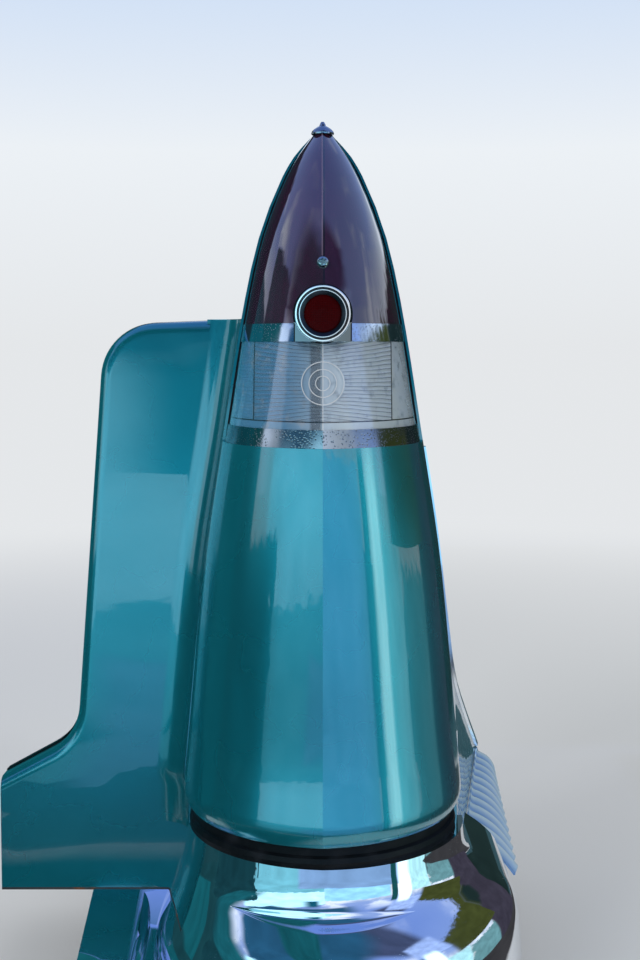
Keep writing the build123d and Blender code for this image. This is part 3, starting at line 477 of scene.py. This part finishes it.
paint, tree, shader, place = new_finish("teal_metallic")
outward = add(tree, "NewGeometry", {})["Normal"]
flake = use_group(tree, flakes, place, Size=2600.0, Lean=0.03, Normal=outward)
cast = patches(tree, place, 5.0, 3.0, 0.3, 0.7)
dust = patches(tree, place, 16.0, 3.0, 0.40, 1.00)
base = mix_colour(tree, cast, TEAL_DEEP, TEAL)
# each flake cell is lightened at random towards a paler teal: the flakes' own tone and a painted glint
flaked = mix_colour(tree, sum_up(tree, "MULTIPLY", flake["Shade"], 0.07), base, FLAKE_GLINT)
paint_look = {
    "Base Color": mix_colour(tree, dust, flaked, TEAL_DUSTY),
    "Roughness": spread(tree, dust, 0.27, 0.33),
    "Normal": flake["Normal"],
    "Metallic": 0.78,
    "Coat Weight": 1.0,
    "Coat Roughness": 0.012,
    "Coat IOR": 1.75,
}
fill(tree, shader, paint_look)
wear(paint, "deck_gutter")

# the keel's crease runs behind this y, on the middle plane
KEEL_FRONT = -0.40
SMOOTH_ANGLE = math.radians(28.0)


def crease_keel(mesh):
    """Keeps the edges along the keel sharp."""
    for edge in mesh.edges:
        ends = [mesh.vertices[v].co for v in edge.vertices]
        on_keel = all(abs(p.x) < 0.0002 and p.y < KEEL_FRONT for p in ends)
        if on_keel and abs(ends[0].z - ends[1].z) > 0.0005:
            edge.use_edge_sharp = True


def copy_node(node, name):
    """Free copy of a CAD node, selected and active."""
    deselect()
    piece = parts[node].copy()
    piece.data = parts[node].data.copy()
    piece.name = name
    piece.data.name = name
    piece.parent = None
    bpy.context.collection.objects.link(piece)
    piece.select_set(True)
    bpy.context.view_layer.objects.active = piece
    return piece


def smooth_copy(node, name, finish, keel=False):
    """Polished piece over a CAD node: triangles joined, curves smooth, crease kept on the keel."""
    piece = copy_node(node, name)
    bpy.ops.mesh.customdata_custom_splitnormals_clear()
    bpy.ops.object.mode_set(mode="EDIT")
    bpy.ops.mesh.select_all(action="SELECT")
    bpy.ops.mesh.remove_doubles(threshold=0.00001)
    bpy.ops.mesh.select_all(action="DESELECT")
    bpy.ops.object.mode_set(mode="OBJECT")
    bpy.ops.object.shade_smooth_by_angle(angle=SMOOTH_ANGLE)
    if keel:
        crease_keel(piece.data)
    wear(finish, piece)
    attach(piece, "root")
    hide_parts(node)
    return piece


smooth_copy("fender_skin", "fender_paintwork", paint, keel=True)
smooth_copy("filler_panel", "filler_paintwork", paint)

# Rubber: the trunk's seal, the lens gasket and the ring under the bell lip.
# Extruded black rubber, dulled by age, with chalky patches. The seal grips the opening's edge, the
# other two are squeezed between the pieces that they part.
rubber, tree, shader, place = new_finish("aged_rubber")
chalk = patches(tree, place, 70.0, 7.0, 0.45, 0.85)
pores = patches(tree, place, 1200.0, 3.0, 0.3, 0.8)
rubber_look = {
    "Base Color": mix_colour(tree, chalk, (0.0025, 0.0032, 0.0042), (0.009, 0.011, 0.014)),
    "Roughness": spread(tree, chalk, 0.42, 0.7),
    "Specular IOR Level": 0.14,
    "Normal": relief(tree, pores, 0.2, 0.0003),
}
fill(tree, shader, rubber_look)
wear(rubber, "trunk_weatherstrip", "lens_gasket", "base_gasket")


def round_edges(width, segments):
    """Rounds the sharp edges of the active piece."""
    rounding = bpy.context.active_object.modifiers.new("rounding", "BEVEL")
    rounding.width = width
    rounding.segments = segments
    bpy.ops.object.modifier_apply(modifier="rounding")


def thicken(wall_thickness, offset):
    """Gives the active sheet a wall: offset -1 leaves it on the inside, 0 on both sides."""
    wall = bpy.context.active_object.modifiers.new("wall", "SOLIDIFY")
    wall.thickness = wall_thickness
    wall.offset = offset
    bpy.ops.object.modifier_apply(modifier="wall")


# Drain plugs of the floor strip: mushroom heads with a dished middle
PLUG_PLACE = (-0.195, -0.18, -0.2445)
PLUGS_APART = 0.06
deselect()
bpy.ops.mesh.primitive_cylinder_add(vertices=32, radius=0.0125, depth=0.003, location=PLUG_PLACE)
step_end(2, [(0.0045, -0.0014), (0.0016, -0.0006)])
round_edges(0.0007, 3)
plug = finish_piece("drain_plug", rubber)
repeat_piece(plug, [(PLUGS_APART, 0.0, 0.0), (2 * PLUGS_APART, 0.0, 0.0)])

# Seat of the reflector: a black ring squeezed between bezel and red lens, also put there as painted
# shade for the dark gap round the bezel
BEZEL_HEIGHT = 0.222
# turn that lays a round piece's axis along y
LYING = (math.pi / 2, 0.0, 0.0)
deselect()
bpy.ops.mesh.primitive_cylinder_add(
    vertices=72,
    radius=0.0206,
    depth=0.030,
    end_fill_type="NOTHING",
    location=(0.0, -0.4690, BEZEL_HEIGHT),
    rotation=LYING,
)
thicken(0.0011, 0.0)
round_edges(0.0004, 2)
finish_piece("bezel_seat_shade_ring", rubber)

# Bumper end, edge moulding and the small bright pieces of the lamp.
# Pressed steel, copper and nickel plated, then chromed and buffed. Fine pits and smears of
# old polish show from close by.

# The steel that shows at the bottom of a pit
BARE_PIT = (0.10, 0.08, 0.06)

# Pits: small dark points where the plating has broken through
pits, given, made = new_group(
    "plating_pits", {"Size": 700.0, "Reach": 0.2, "Where": 0.55}, ["Mask", "Height"]
)
cell = add(pits, "TexVoronoi", {"Vector": given["Place"], "Scale": given["Size"]})["Distance"]
near = step_range(pits, cell, 0.0, given["Reach"], 1.0, 0.0)
gate = sum_up(pits, "GREATER_THAN", noise(pits, given["Place"], 45.0, 4.0), given["Where"])
pitted = sum_up(pits, "MULTIPLY", near, gate)
fill(pits, made, {"Mask": pitted, "Height": sum_up(pits, "SUBTRACT", 1.0, pitted)})


def chrome_finish(name, bright, smeared, pit_size, pit_reach, pit_where, rough_low, rough_high):
    """Plated metal with smears and pits. Returns the material."""
    material, tree, shader, place = new_finish(name)
    smear = patches(tree, place, 24.0, 6.0, 0.45, 0.8)
    pit = use_group(tree, pits, place, Size=pit_size, Reach=pit_reach, Where=pit_where)
    tone = mix_colour(tree, smear, bright, smeared)
    rough = spread(tree, smear, rough_low, rough_high)
    look = {
        "Base Color": mix_colour(tree, pit["Mask"], tone, BARE_PIT),
        "Metallic": 1.0,
        "Roughness": sum_up(tree, "MAXIMUM", rough, sum_up(tree, "MULTIPLY", pit["Mask"], 0.6)),
        "Normal": relief(tree, pit["Height"], 0.3, 0.0003),
    }
    fill(tree, shader, look)
    return material


# name, bright colour, smeared colour, cells a metre, pit's share of a cell, noise level from which
# pits show, least and most roughness
PLATING = [
    ("bumper_chrome", (0.84, 0.86, 0.89), (0.76, 0.79, 0.83), 900.0, 0.16, 0.63, 0.025, 0.09),
    ("trim_chrome", (0.82, 0.84, 0.86), (0.70, 0.72, 0.74), 1100.0, 0.22, 0.56, 0.05, 0.14),
    # the screw's plating colours are darkened as painted shade of its recess
    ("screw_chrome_painted_shade", (0.36, 0.42, 0.42), (0.22, 0.26, 0.26), 900.0, 0.30, 0.50, 0.14, 0.30),
    # the finial's plating colours are darkened as painted reflection of dark surroundings
    ("cap_chrome_painted_dark", (0.34, 0.38, 0.44), (0.22, 0.25, 0.29), 900.0, 0.30, 0.50, 0.08, 0.20),
    # the upper band's plating colours are tinted blue as painted reflection of the sky
    ("pitted_chrome", (0.56, 0.65, 0.76), (0.40, 0.47, 0.56), 620.0, 0.34, 0.46, 0.07, 0.24),
    # the lower band's plating colours are darkened as painted reflection of dark surroundings
    ("rough_chrome_painted_dark", (0.36, 0.40, 0.44), (0.20, 0.23, 0.27), 560.0, 0.44, 0.38, 0.10, 0.30),
    # the guard's plating colours are tinted blue as painted reflection of the sky
    ("guard_chrome", (0.66, 0.86, 1.00), (0.56, 0.78, 1.00), 900.0, 0.22, 0.60, 0.12, 0.24),
]
plating = {row[0]: chrome_finish(*row) for row in PLATING}

# The crease pressed across the pod's shoulder: a shallow groove that tapers out to both sides.
# Level is its height, Half its half width in the middle, Reach how far it runs to each side.
crease, given, made = new_group(
    "shoulder_crease", {"Level": -0.2100, "Half": 0.0062, "Reach": 0.068}, ["Height"]
)
axes = add(crease, "SeparateXYZ", {"Vector": given["Place"]})
out = sum_up(crease, "DIVIDE", axes["X"], given["Reach"])
taper = sum_up(crease, "SUBTRACT", 1.0, sum_up(crease, "MULTIPLY", out, out))
open_half = sum_up(crease, "MULTIPLY", given["Half"], taper)
wide_enough = sum_up(crease, "MAXIMUM", open_half, 0.0004)
off = sum_up(crease, "SUBTRACT", axes["Z"], given["Level"])
share = sum_up(crease, "DIVIDE", off, wide_enough)
squared = sum_up(crease, "MULTIPLY", share, share)
hollow = sum_up(crease, "MAXIMUM", sum_up(crease, "SUBTRACT", 1.0, squared), 0.0)
rounded = sum_up(crease, "MULTIPLY", hollow, hollow)
tapered = sum_up(crease, "MULTIPLY", rounded, sum_up(crease, "MAXIMUM", taper, 0.0))
fill(crease, made, {"Height": sum_up(crease, "MULTIPLY", tapered, -1.0)})

tree = plating["bumper_chrome"].node_tree
shader = tree.nodes["Principled BSDF"]
groove_height = use_group(tree, crease, add(tree, "TexCoord", {})["Object"])["Height"]
pit_normal = shader.inputs["Normal"].links[0].from_socket
fill(tree, shader, {"Normal": relief(tree, groove_height, 1.0, 0.0016, pit_normal)})
smooth_copy("bumper_end", "bumper_plating", plating["bumper_chrome"])
smooth_copy("edge_moulding", "edge_moulding_bright", plating["trim_chrome"])
screw_head = smooth_copy("lens_screw", "lens_screw_bright", plating["screw_chrome_painted_shade"])

# The screw's cross recess, cut with two crossed blades
RECESS_PLACE = (0.0, -0.4705, 0.259)
RECESS_TURN = 0.35
BLADE_SIZE = (0.0056, 0.0034, 0.0013)
blades = []
for turn in (0.0, math.pi / 2):
    deselect()
    bpy.ops.mesh.primitive_cube_add(
        size=1.0, location=RECESS_PLACE, rotation=(0.0, turn + RECESS_TURN, 0.0)
    )
    blade = bpy.context.active_object
    blade.scale = BLADE_SIZE
    blades.append(blade)
for blade in blades:
    deselect()
    screw_head.select_set(True)
    bpy.context.view_layer.objects.active = screw_head
    cutting = screw_head.modifiers.new("cutting", "BOOLEAN")
    cutting.operation = "DIFFERENCE"
    cutting.solver = "EXACT"
    cutting.object = blade
    bpy.ops.object.modifier_apply(modifier="cutting")
    bpy.data.objects.remove(blade)

# The bezel: bright rings, a rough bevel between them and the disc painted dark as shade in the recess,
# a groove painted dark as shade, and a square foot painted as shaded, with painted shadow along its
# sides.
# The bevel's dark, rough band ends between two radii; then radius of the groove and of the outer ring,
# and the foot's top and half width.
BEVEL_REACH = (0.0159, 0.0165)
GROOVE_R = 0.0176
RIM_R = 0.0201
FOOT_TOP = 0.2155
FOOT_HALF = 0.0196
bezel_chrome, tree, shader, place = new_finish("bezel_chrome")
flatten = {0: place, 1: (1.0, 0.0, 1.0), 2: (0.0, 0.0, -BEZEL_HEIGHT)}
from_axis = add(tree, "VectorMath", flatten, operation="MULTIPLY_ADD")["Vector"]
reach = add(tree, "VectorMath", {0: from_axis}, operation="LENGTH")["Value"]
axes = add(tree, "SeparateXYZ", {"Vector": place})
bevel = step_range(tree, reach, *BEVEL_REACH, 1.0, 0.0)
speck = use_group(tree, pits, place, Size=1100.0, Reach=0.26, Where=0.52)["Mask"]
bare = mix_colour(tree, speck, (0.80, 0.83, 0.86), (0.10, 0.09, 0.08))
# painted shade: the bevel sloping down to the disc is coloured dark grey
beveled = mix_colour(tree, bevel, bare, (0.07, 0.09, 0.11))
# painted shade in the groove between the rings
groove = sum_up(tree, "COMPARE", reach, GROOVE_R, 0.0006)
grooved = mix_colour(tree, groove, beveled, (0.03, 0.035, 0.04))
# painted shade on the square foot below the rim
foot_low = sum_up(tree, "LESS_THAN", axes["Z"], FOOT_TOP)
foot_out = sum_up(tree, "GREATER_THAN", reach, RIM_R)
foot_mask = sum_up(tree, "MULTIPLY", foot_low, foot_out)
footed = mix_colour(tree, foot_mask, grooved, (0.16, 0.20, 0.22))
# painted shadow along both sides of the foot
foot_side = sum_up(tree, "GREATER_THAN", sum_up(tree, "ABSOLUTE", axes["X"]), FOOT_HALF)
foot_shadow_mask = sum_up(tree, "MULTIPLY", foot_side, foot_low)
bezel_look = {
    "Base Color": mix_colour(tree, foot_shadow_mask, footed, (0.012, 0.014, 0.016)),
    "Metallic": 1.0,
    "Roughness": spread(tree, bevel, 0.06, 0.42),
}
fill(tree, shader, bezel_look)
smooth_copy("reflector_bezel", "reflector_bezel_bright", bezel_chrome)
smooth_copy("lamp_lower_band", "lower_band_bright", plating["rough_chrome_painted_dark"], keel=True)
smooth_copy("lamp_upper_band", "upper_band_bright", plating["pitted_chrome"], keel=True)
smooth_copy("finial", "finial_bright", plating["cap_chrome_painted_dark"])

# Stone guard.
# A thin leaf of plated steel, fixed to the flank by its root and flared out and down from there.
# Soft ribs, pressed side by side along its length, run from the root to the free edge.
# Rear root, rear tip, front root and front tip, as (x, y, height)
LEAF = [
    (0.1235, -0.284, -0.229),
    (0.172, -0.284, -0.271),
    (0.159, -0.012, -0.237),
    (0.1852, -0.012, -0.271),
]
LEAF_RIBS = 12
LEAF_WALL = 0.0016
# how far the leaf bulges at its rear end, and how far a rib stands out at the free edge
LEAF_BELLY = 0.005
RIB_RISE = 0.0052

# painted shade: the colour turns a darker blue in the valleys between the ribs and keeps the plating's
# colour on their crests
RIB_VALLEY_SHADE = (0.22, 0.42, 0.82)
GUARD_REAR = -0.284
GUARD_PITCH = 0.0227
tree = plating["guard_chrome"].node_tree
shader = tree.nodes["Principled BSDF"]
crest_colour = shader.inputs["Base Color"].links[0].from_socket
axes = add(tree, "SeparateXYZ", {"Vector": add(tree, "TexCoord", {})["Object"]})
from_rear = sum_up(tree, "SUBTRACT", axes["Y"], GUARD_REAR)
swing = sum_up(tree, "COSINE", sum_up(tree, "MULTIPLY", from_rear, 2.0 * math.pi / GUARD_PITCH))
crest = sum_up(tree, "MULTIPLY_ADD", swing, -0.5, 0.5)
fill(tree, shader, {"Base Color": mix_colour(tree, crest, RIB_VALLEY_SHADE, crest_colour), "Metallic": 0.25})

deselect()
bpy.ops.mesh.primitive_grid_add(x_subdivisions=LEAF_RIBS * 10, y_subdivisions=12, size=2.0)
leaf = bpy.context.active_object
root_rear, tip_rear, root_front, tip_front = (Vector(corner) for corner in LEAF)
skin = parts["fender_skin"]
skin_points = [skin.matrix_world @ point.co for point in skin.data.vertices]
skin_tree = BVHTree.FromPolygons(skin_points, [list(face.vertices) for face in skin.data.polygons])
for point in leaf.data.vertices:
    along = (point.co.x + 1.0) / 2.0
    across = (point.co.y + 1.0) / 2.0
    root = root_rear.lerp(root_front, along)
    tip = tip_rear.lerp(tip_front, along)
    out = Vector((root.z - tip.z, 0.0, tip.x - root.x)).normalized()
    arch = 0.5 - 0.5 * math.cos(2.0 * math.pi * along * LEAF_RIBS)
    belly = math.sin(math.pi * min(1.0, across * 0.96)) * LEAF_BELLY * (1.0 + along)
    # ribs are weaker towards the root and run out over its last fifth
    rise = RIB_RISE * arch * (0.35 + 0.65 * across) * min(1.0, across * 5.0)
    point.co = root.lerp(tip, across) + out * (belly + rise)
    # where it would cut into the flank, the leaf lies on the skin's outer face
    beside = Vector((0.30, point.co.y, point.co.z))
    on_skin = skin_tree.ray_cast(beside, Vector((-1.0, 0.0, 0.0)))[0]
    if on_skin is not None:
        point.co.x = max(point.co.x, on_skin.x + LEAF_WALL * 1.3)
bpy.ops.object.mode_set(mode="EDIT")
bpy.ops.mesh.select_all(action="SELECT")
bpy.ops.mesh.normals_make_consistent(inside=False)
bpy.ops.object.mode_set(mode="OBJECT")
thicken(LEAF_WALL, -1.0)
leaf = finish_piece("stone_guard_leaf", plating["guard_chrome"], angle=75.0)
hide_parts("stone_guard")

# Lamp pan, divider, bowls and sockets.
# The pan is zinc-plated steel with two round holes. A bright bowl and a brass bayonet socket are
# crimped into each, and clear bulbs light the red chamber above and the clear one below.


def stained_finish(name, stain, clean, stained, rough_low, rough_high, metallic):
    """Surface with stains. Returns the material."""
    material, tree, shader, place = new_finish(name)
    mask = patches(tree, place, *stain)
    look = {
        "Base Color": mix_colour(tree, mask, clean, stained),
        "Roughness": spread(tree, mask, rough_low, rough_high),
        "Metallic": metallic,
    }
    fill(tree, shader, look)
    return material


# name, stains' size, detail, start and end, clean colour, stained colour, least and most
# roughness, how metallic
STAINED = [
    ("zinc_plated", (38.0, 7.0, 0.4, 0.75), (0.50, 0.50, 0.47), (0.34, 0.33, 0.28), 0.28, 0.5, 0.9),
    ("bowl_bright", (60.0, 5.0, 0.4, 0.8), (0.86, 0.86, 0.84), (0.70, 0.69, 0.66), 0.12, 0.3, 1.0),
    ("dull_brass", (90.0, 6.0, 0.4, 0.75), (0.52, 0.38, 0.16), (0.24, 0.17, 0.09), 0.3, 0.6, 1.0),
]
BROWN = (0.10, 0.035, 0.014)
BROWN_STREAK = (0.055, 0.022, 0.010)
plated, bright, brass = (stained_finish(*row) for row in STAINED)
board = stained_finish(
    "brown_contact_board", (160.0, 5.0, 0.35, 0.7), BROWN, BROWN_STREAK, 0.38, 0.6, 0.0
)
wear(plated, "lamp_pan", "lamp_divider")
wear(bright, "backup_bowl", "tail_bowl")
wear(brass, "backup_socket", "tail_socket")


def pan_front(height):
    """Y of the pan's front face at a height: it leans 22 mm forward over 236 mm."""
    return -0.397 + 22.0 / 236.0 * (height - 0.127)


def pan_disc(corners, radius, depth, x, off, height):
    """Cylinder on the pan's front face, its middle that far off the face."""
    bpy.ops.mesh.primitive_cylinder_add(
        vertices=corners,
        radius=radius,
        depth=depth,
        location=(x, pan_front(height) + off, height),
        rotation=LYING,
    )
    return bpy.context.active_object


# Pan screws: hexagon heads with a pressed washer, as (half spacing, height)
PAN_SCREWS = [(0.050, 0.146), (0.044, 0.222), (0.036, 0.262), (0.022, 0.322)]
first_x, first_height = PAN_SCREWS[0]
deselect()
washer = pan_disc(36, 0.0056, 0.0014, first_x, 0.0007, first_height)
head = pan_disc(6, 0.0042, 0.0034, first_x, 0.0031, first_height)
bpy.ops.object.transform_apply(location=True, rotation=True, scale=True)
step_end(1, [(0.0009, 0.0004), (0.0008, -0.0005)])
washer.select_set(True)
head.select_set(True)
bpy.context.view_layer.objects.active = washer
bpy.ops.object.join()
pan_screw = finish_piece("pan_screw", plated, angle=35.0)
moves = [
    (side * x - first_x, pan_front(height) - pan_front(first_height), height - first_height)
    for x, height in PAN_SCREWS
    for side in (1.0, -1.0)
]
repeat_piece(pan_screw, moves[1:])

# Rolled flanges where the sockets pass the pan, and the contact plates and studs at their ends
BULB_LOW, BULB_HIGH = 0.170, 0.290
STUD_X = 0.0042
step_up = Vector((0.0, pan_front(BULB_HIGH) - pan_front(BULB_LOW), BULB_HIGH - BULB_LOW))
deselect()
bpy.ops.mesh.primitive_torus_add(
    major_segments=48,
    minor_segments=10,
    major_radius=0.0122,
    minor_radius=0.0013,
    location=(0.0, pan_front(BULB_LOW) + 0.0010, BULB_LOW),
    rotation=LYING,
)
flange = finish_piece("socket_flange", brass)
repeat_piece(flange, [step_up])

deselect()
pan_disc(40, 0.0096, 0.0018, 0.0, 0.0248, BULB_LOW)
round_edges(0.0004, 2)
plate = finish_piece("contact_plate", board)
repeat_piece(plate, [step_up])

deselect()
pan_disc(16, 0.0017, 0.0065, STUD_X, 0.0285, BULB_LOW)
bpy.ops.object.transform_apply(location=True, rotation=True, scale=True)
step_end(1, [(0.0006, 0.0009)])
stud = finish_piece("contact_stud", brass)
across_plate = Vector((-2 * STUD_X, 0.0, 0.0))
repeat_piece(stud, [across_plate, step_up, across_plate + step_up])

glass, tree, shader, place = new_finish("bulb_glass")
soot = patches(tree, place, 50.0, 4.0, 0.5, 0.9)
glass_look = {
    "Base Color": mix_colour(tree, soot, (0.96, 0.97, 0.96), (0.70, 0.68, 0.62)),
    "Roughness": 0.06,
    "Transmission Weight": 0.9,
}
fill(tree, shader, glass_look)
wear(glass, "backup_bulb", "tail_bulb")

# Clear lens.
# Moulded acrylic, smooth outside, with fine level flutes inside that spread the light. The plain
# rings of its boss stand proud on the keel.

# Pitch of the flutes, the boss with its rings and the plain disc round them, and the two lines
# that frame the flutes: the rim's height and the side's distance from the keel
FLUTE_PITCH = 0.0024
BOSS_HEIGHT = 0.173
RING_RADII = (0.0151, 0.0098, 0.0051)
PLAIN_R = 0.0160
RIM_LINE = 0.1455
SIDE_LINE = 0.0505

# Masks of the lens: where it is fluted, its lines and rings, and the flutes' own height
flutes, given, made = new_group(
    "lens_flutes",
    {"Pitch": FLUTE_PITCH, "Boss": BOSS_HEIGHT, "Rim": RIM_LINE, "Side": SIDE_LINE},
    ["Height", "Lines", "Rings"],
)
axes = add(flutes, "SeparateXYZ", {"Vector": given["Place"]})
away = sum_up(flutes, "ABSOLUTE", axes["X"])
above = sum_up(flutes, "SUBTRACT", axes["Z"], given["Boss"])
lean_share = sum_up(flutes, "MULTIPLY_ADD", away, -5.0, 1.0)
leaning = sum_up(flutes, "MULTIPLY", above, lean_share)
wavering = sum_up(flutes, "MULTIPLY", noise(flutes, given["Place"], 60.0, 1.0), 0.0009)
shifted = sum_up(flutes, "ADD", leaning, wavering)
turns = sum_up(flutes, "DIVIDE", shifted, given["Pitch"])
swing = sum_up(flutes, "SINE", sum_up(flutes, "MULTIPLY", turns, 2.0 * math.pi))
wave = sum_up(flutes, "MULTIPLY", sum_up(flutes, "MULTIPLY", swing, swing), swing)
squared_x = sum_up(flutes, "MULTIPLY", axes["X"], axes["X"])
squared_z = sum_up(flutes, "MULTIPLY", above, above)
radius = sum_up(flutes, "SQRT", sum_up(flutes, "ADD", squared_x, squared_z))
rings = 0.0
for ring in RING_RADII:
    rings = sum_up(flutes, "MAXIMUM", rings, sum_up(flutes, "COMPARE", radius, ring, 0.00035))
outside = sum_up(flutes, "GREATER_THAN", radius, PLAIN_R)
inside = sum_up(flutes, "LESS_THAN", away, given["Side"])
higher = sum_up(flutes, "GREATER_THAN", axes["Z"], given["Rim"])
fluted = sum_up(flutes, "MULTIPLY", sum_up(flutes, "MULTIPLY", outside, inside), higher)
rim_line = sum_up(flutes, "COMPARE", axes["Z"], given["Rim"], 0.00045)
side_line = sum_up(flutes, "COMPARE", away, given["Side"], 0.0004)
side_above = sum_up(flutes, "MULTIPLY", side_line, higher)
lens_masks = {
    "Height": sum_up(flutes, "MULTIPLY", wave, fluted),
    "Lines": sum_up(flutes, "MAXIMUM", rim_line, side_above),
    "Rings": rings,
}
fill(flutes, made, lens_masks)

clear, tree, shader, place = new_finish("clear_acrylic")
scuff = patches(tree, place, 120.0, 6.0, 0.5, 0.8)
flute = use_group(tree, flutes, place)
x = add(tree, "SeparateXYZ", {"Vector": place})["X"]
# painted reflection: the left half is coloured like the darker body it mirrors, the right half like
# the open side
across = step_range(tree, x, -0.040, 0.030)
halves = mix_colour(tree, across, (0.12, 0.34, 0.58), (0.80, 0.92, 1.00))
reflection_and_scuff = mix_colour(tree, scuff, halves, (0.36, 0.46, 0.56))
# painted shade in dark lines along the flutes
flute_shaded = mix_colour(tree, spread(tree, flute["Height"], 0.0, 0.75), reflection_and_scuff, (0.16, 0.22, 0.30))
# painted shade in a strip beside the keel, where the moulding is thickest, and a painted highlight
# along the keel's edge
keel_away = sum_up(tree, "ABSOLUTE", sum_up(tree, "ADD", x, 0.0050))
keel_strip = step_range(tree, keel_away, 0.0025, 0.0055, 0.65, 0.0)
shaded = mix_colour(tree, keel_strip, flute_shaded, (0.09, 0.09, 0.10))
keel_highlighted = mix_colour(tree, sum_up(tree, "COMPARE", x, 0.0, 0.0005), shaded, (0.80, 0.86, 0.92))
lined = mix_colour(tree, flute["Lines"], keel_highlighted, (0.03, 0.04, 0.05))
clear_look = {
    # painted highlight: the boss rings are coloured near white
    "Base Color": mix_colour(tree, flute["Rings"], lined, (0.92, 0.96, 1.0)),
    "Roughness": spread(tree, scuff, 0.07, 0.28),
    "Normal": relief(tree, flute["Height"], 0.6, 0.0006),
    "Transmission Weight": 0.55,
    "IOR": 1.49,
    "Coat Weight": 1.0,
    "Coat Roughness": 0.02,
    "Coat IOR": 1.8,
}
fill(tree, shader, clear_look)
smooth_copy("clear_lens", "clear_lens_moulding", clear, keel=True)

# Red lens.
# Moulded acrylic of a very deep red, thick enough to look nearly black, polished outside. The
# screw through its keel holds it on the pan.
SCREW_TOP = 0.264
red, tree, shader, place = new_finish("deep_red_acrylic")
veil = patches(tree, place, 18.0, 5.0, 0.35, 0.8)
depth = mix_colour(tree, veil, (0.022, 0.002, 0.016), (0.036, 0.003, 0.022))
axes = add(tree, "SeparateXYZ", {"Vector": place})
# light caught along the keel above the screw, and the shade beside it
keel_shade = sum_up(tree, "COMPARE", axes["X"], 0.0009, 0.0006)
keel_light = sum_up(tree, "COMPARE", axes["X"], -0.0003, 0.0005)
over_screw = sum_up(tree, "GREATER_THAN", axes["Z"], SCREW_TOP)
light_mask = sum_up(tree, "MULTIPLY", keel_light, over_screw)
shaded = mix_colour(tree, keel_shade, depth, (0.002, 0.0005, 0.001))
red_look = {
    "Base Color": mix_colour(tree, light_mask, shaded, (0.10, 0.06, 0.08)),
    "Roughness": spread(tree, veil, 0.02, 0.05),
    "Transmission Weight": 0.12,
    "IOR": 1.49,
    "Coat Weight": 1.0,
    "Coat Roughness": 0.01,
    "Coat IOR": 1.9,
}
fill(tree, shader, red_look)
smooth_copy("red_lens", "red_lens_moulding", red, keel=True)

# Red reflector.
# Round pressing of red acrylic, with small cube-shaped prisms behind a smooth face, held in the
# bezel's ring.
prisms, tree, shader, place = new_finish("red_prisms")
grid = {"Vector": place, "Scale": 620.0, "Randomness": 0.15}
cell = add(tree, "TexVoronoi", grid, distance="MANHATTAN")["Distance"]
prism_look = {
    "Base Color": mix_colour(tree, cell, (0.016, 0.0001, 0.0004), (0.030, 0.0002, 0.0006)),
    "Roughness": 0.35,
    "Specular IOR Level": 0.03,
    "Coat Weight": 0.02,
    "Normal": relief(tree, cell, 0.4, 0.0006),
}
fill(tree, shader, prism_look)
wear(prisms, "red_reflector")
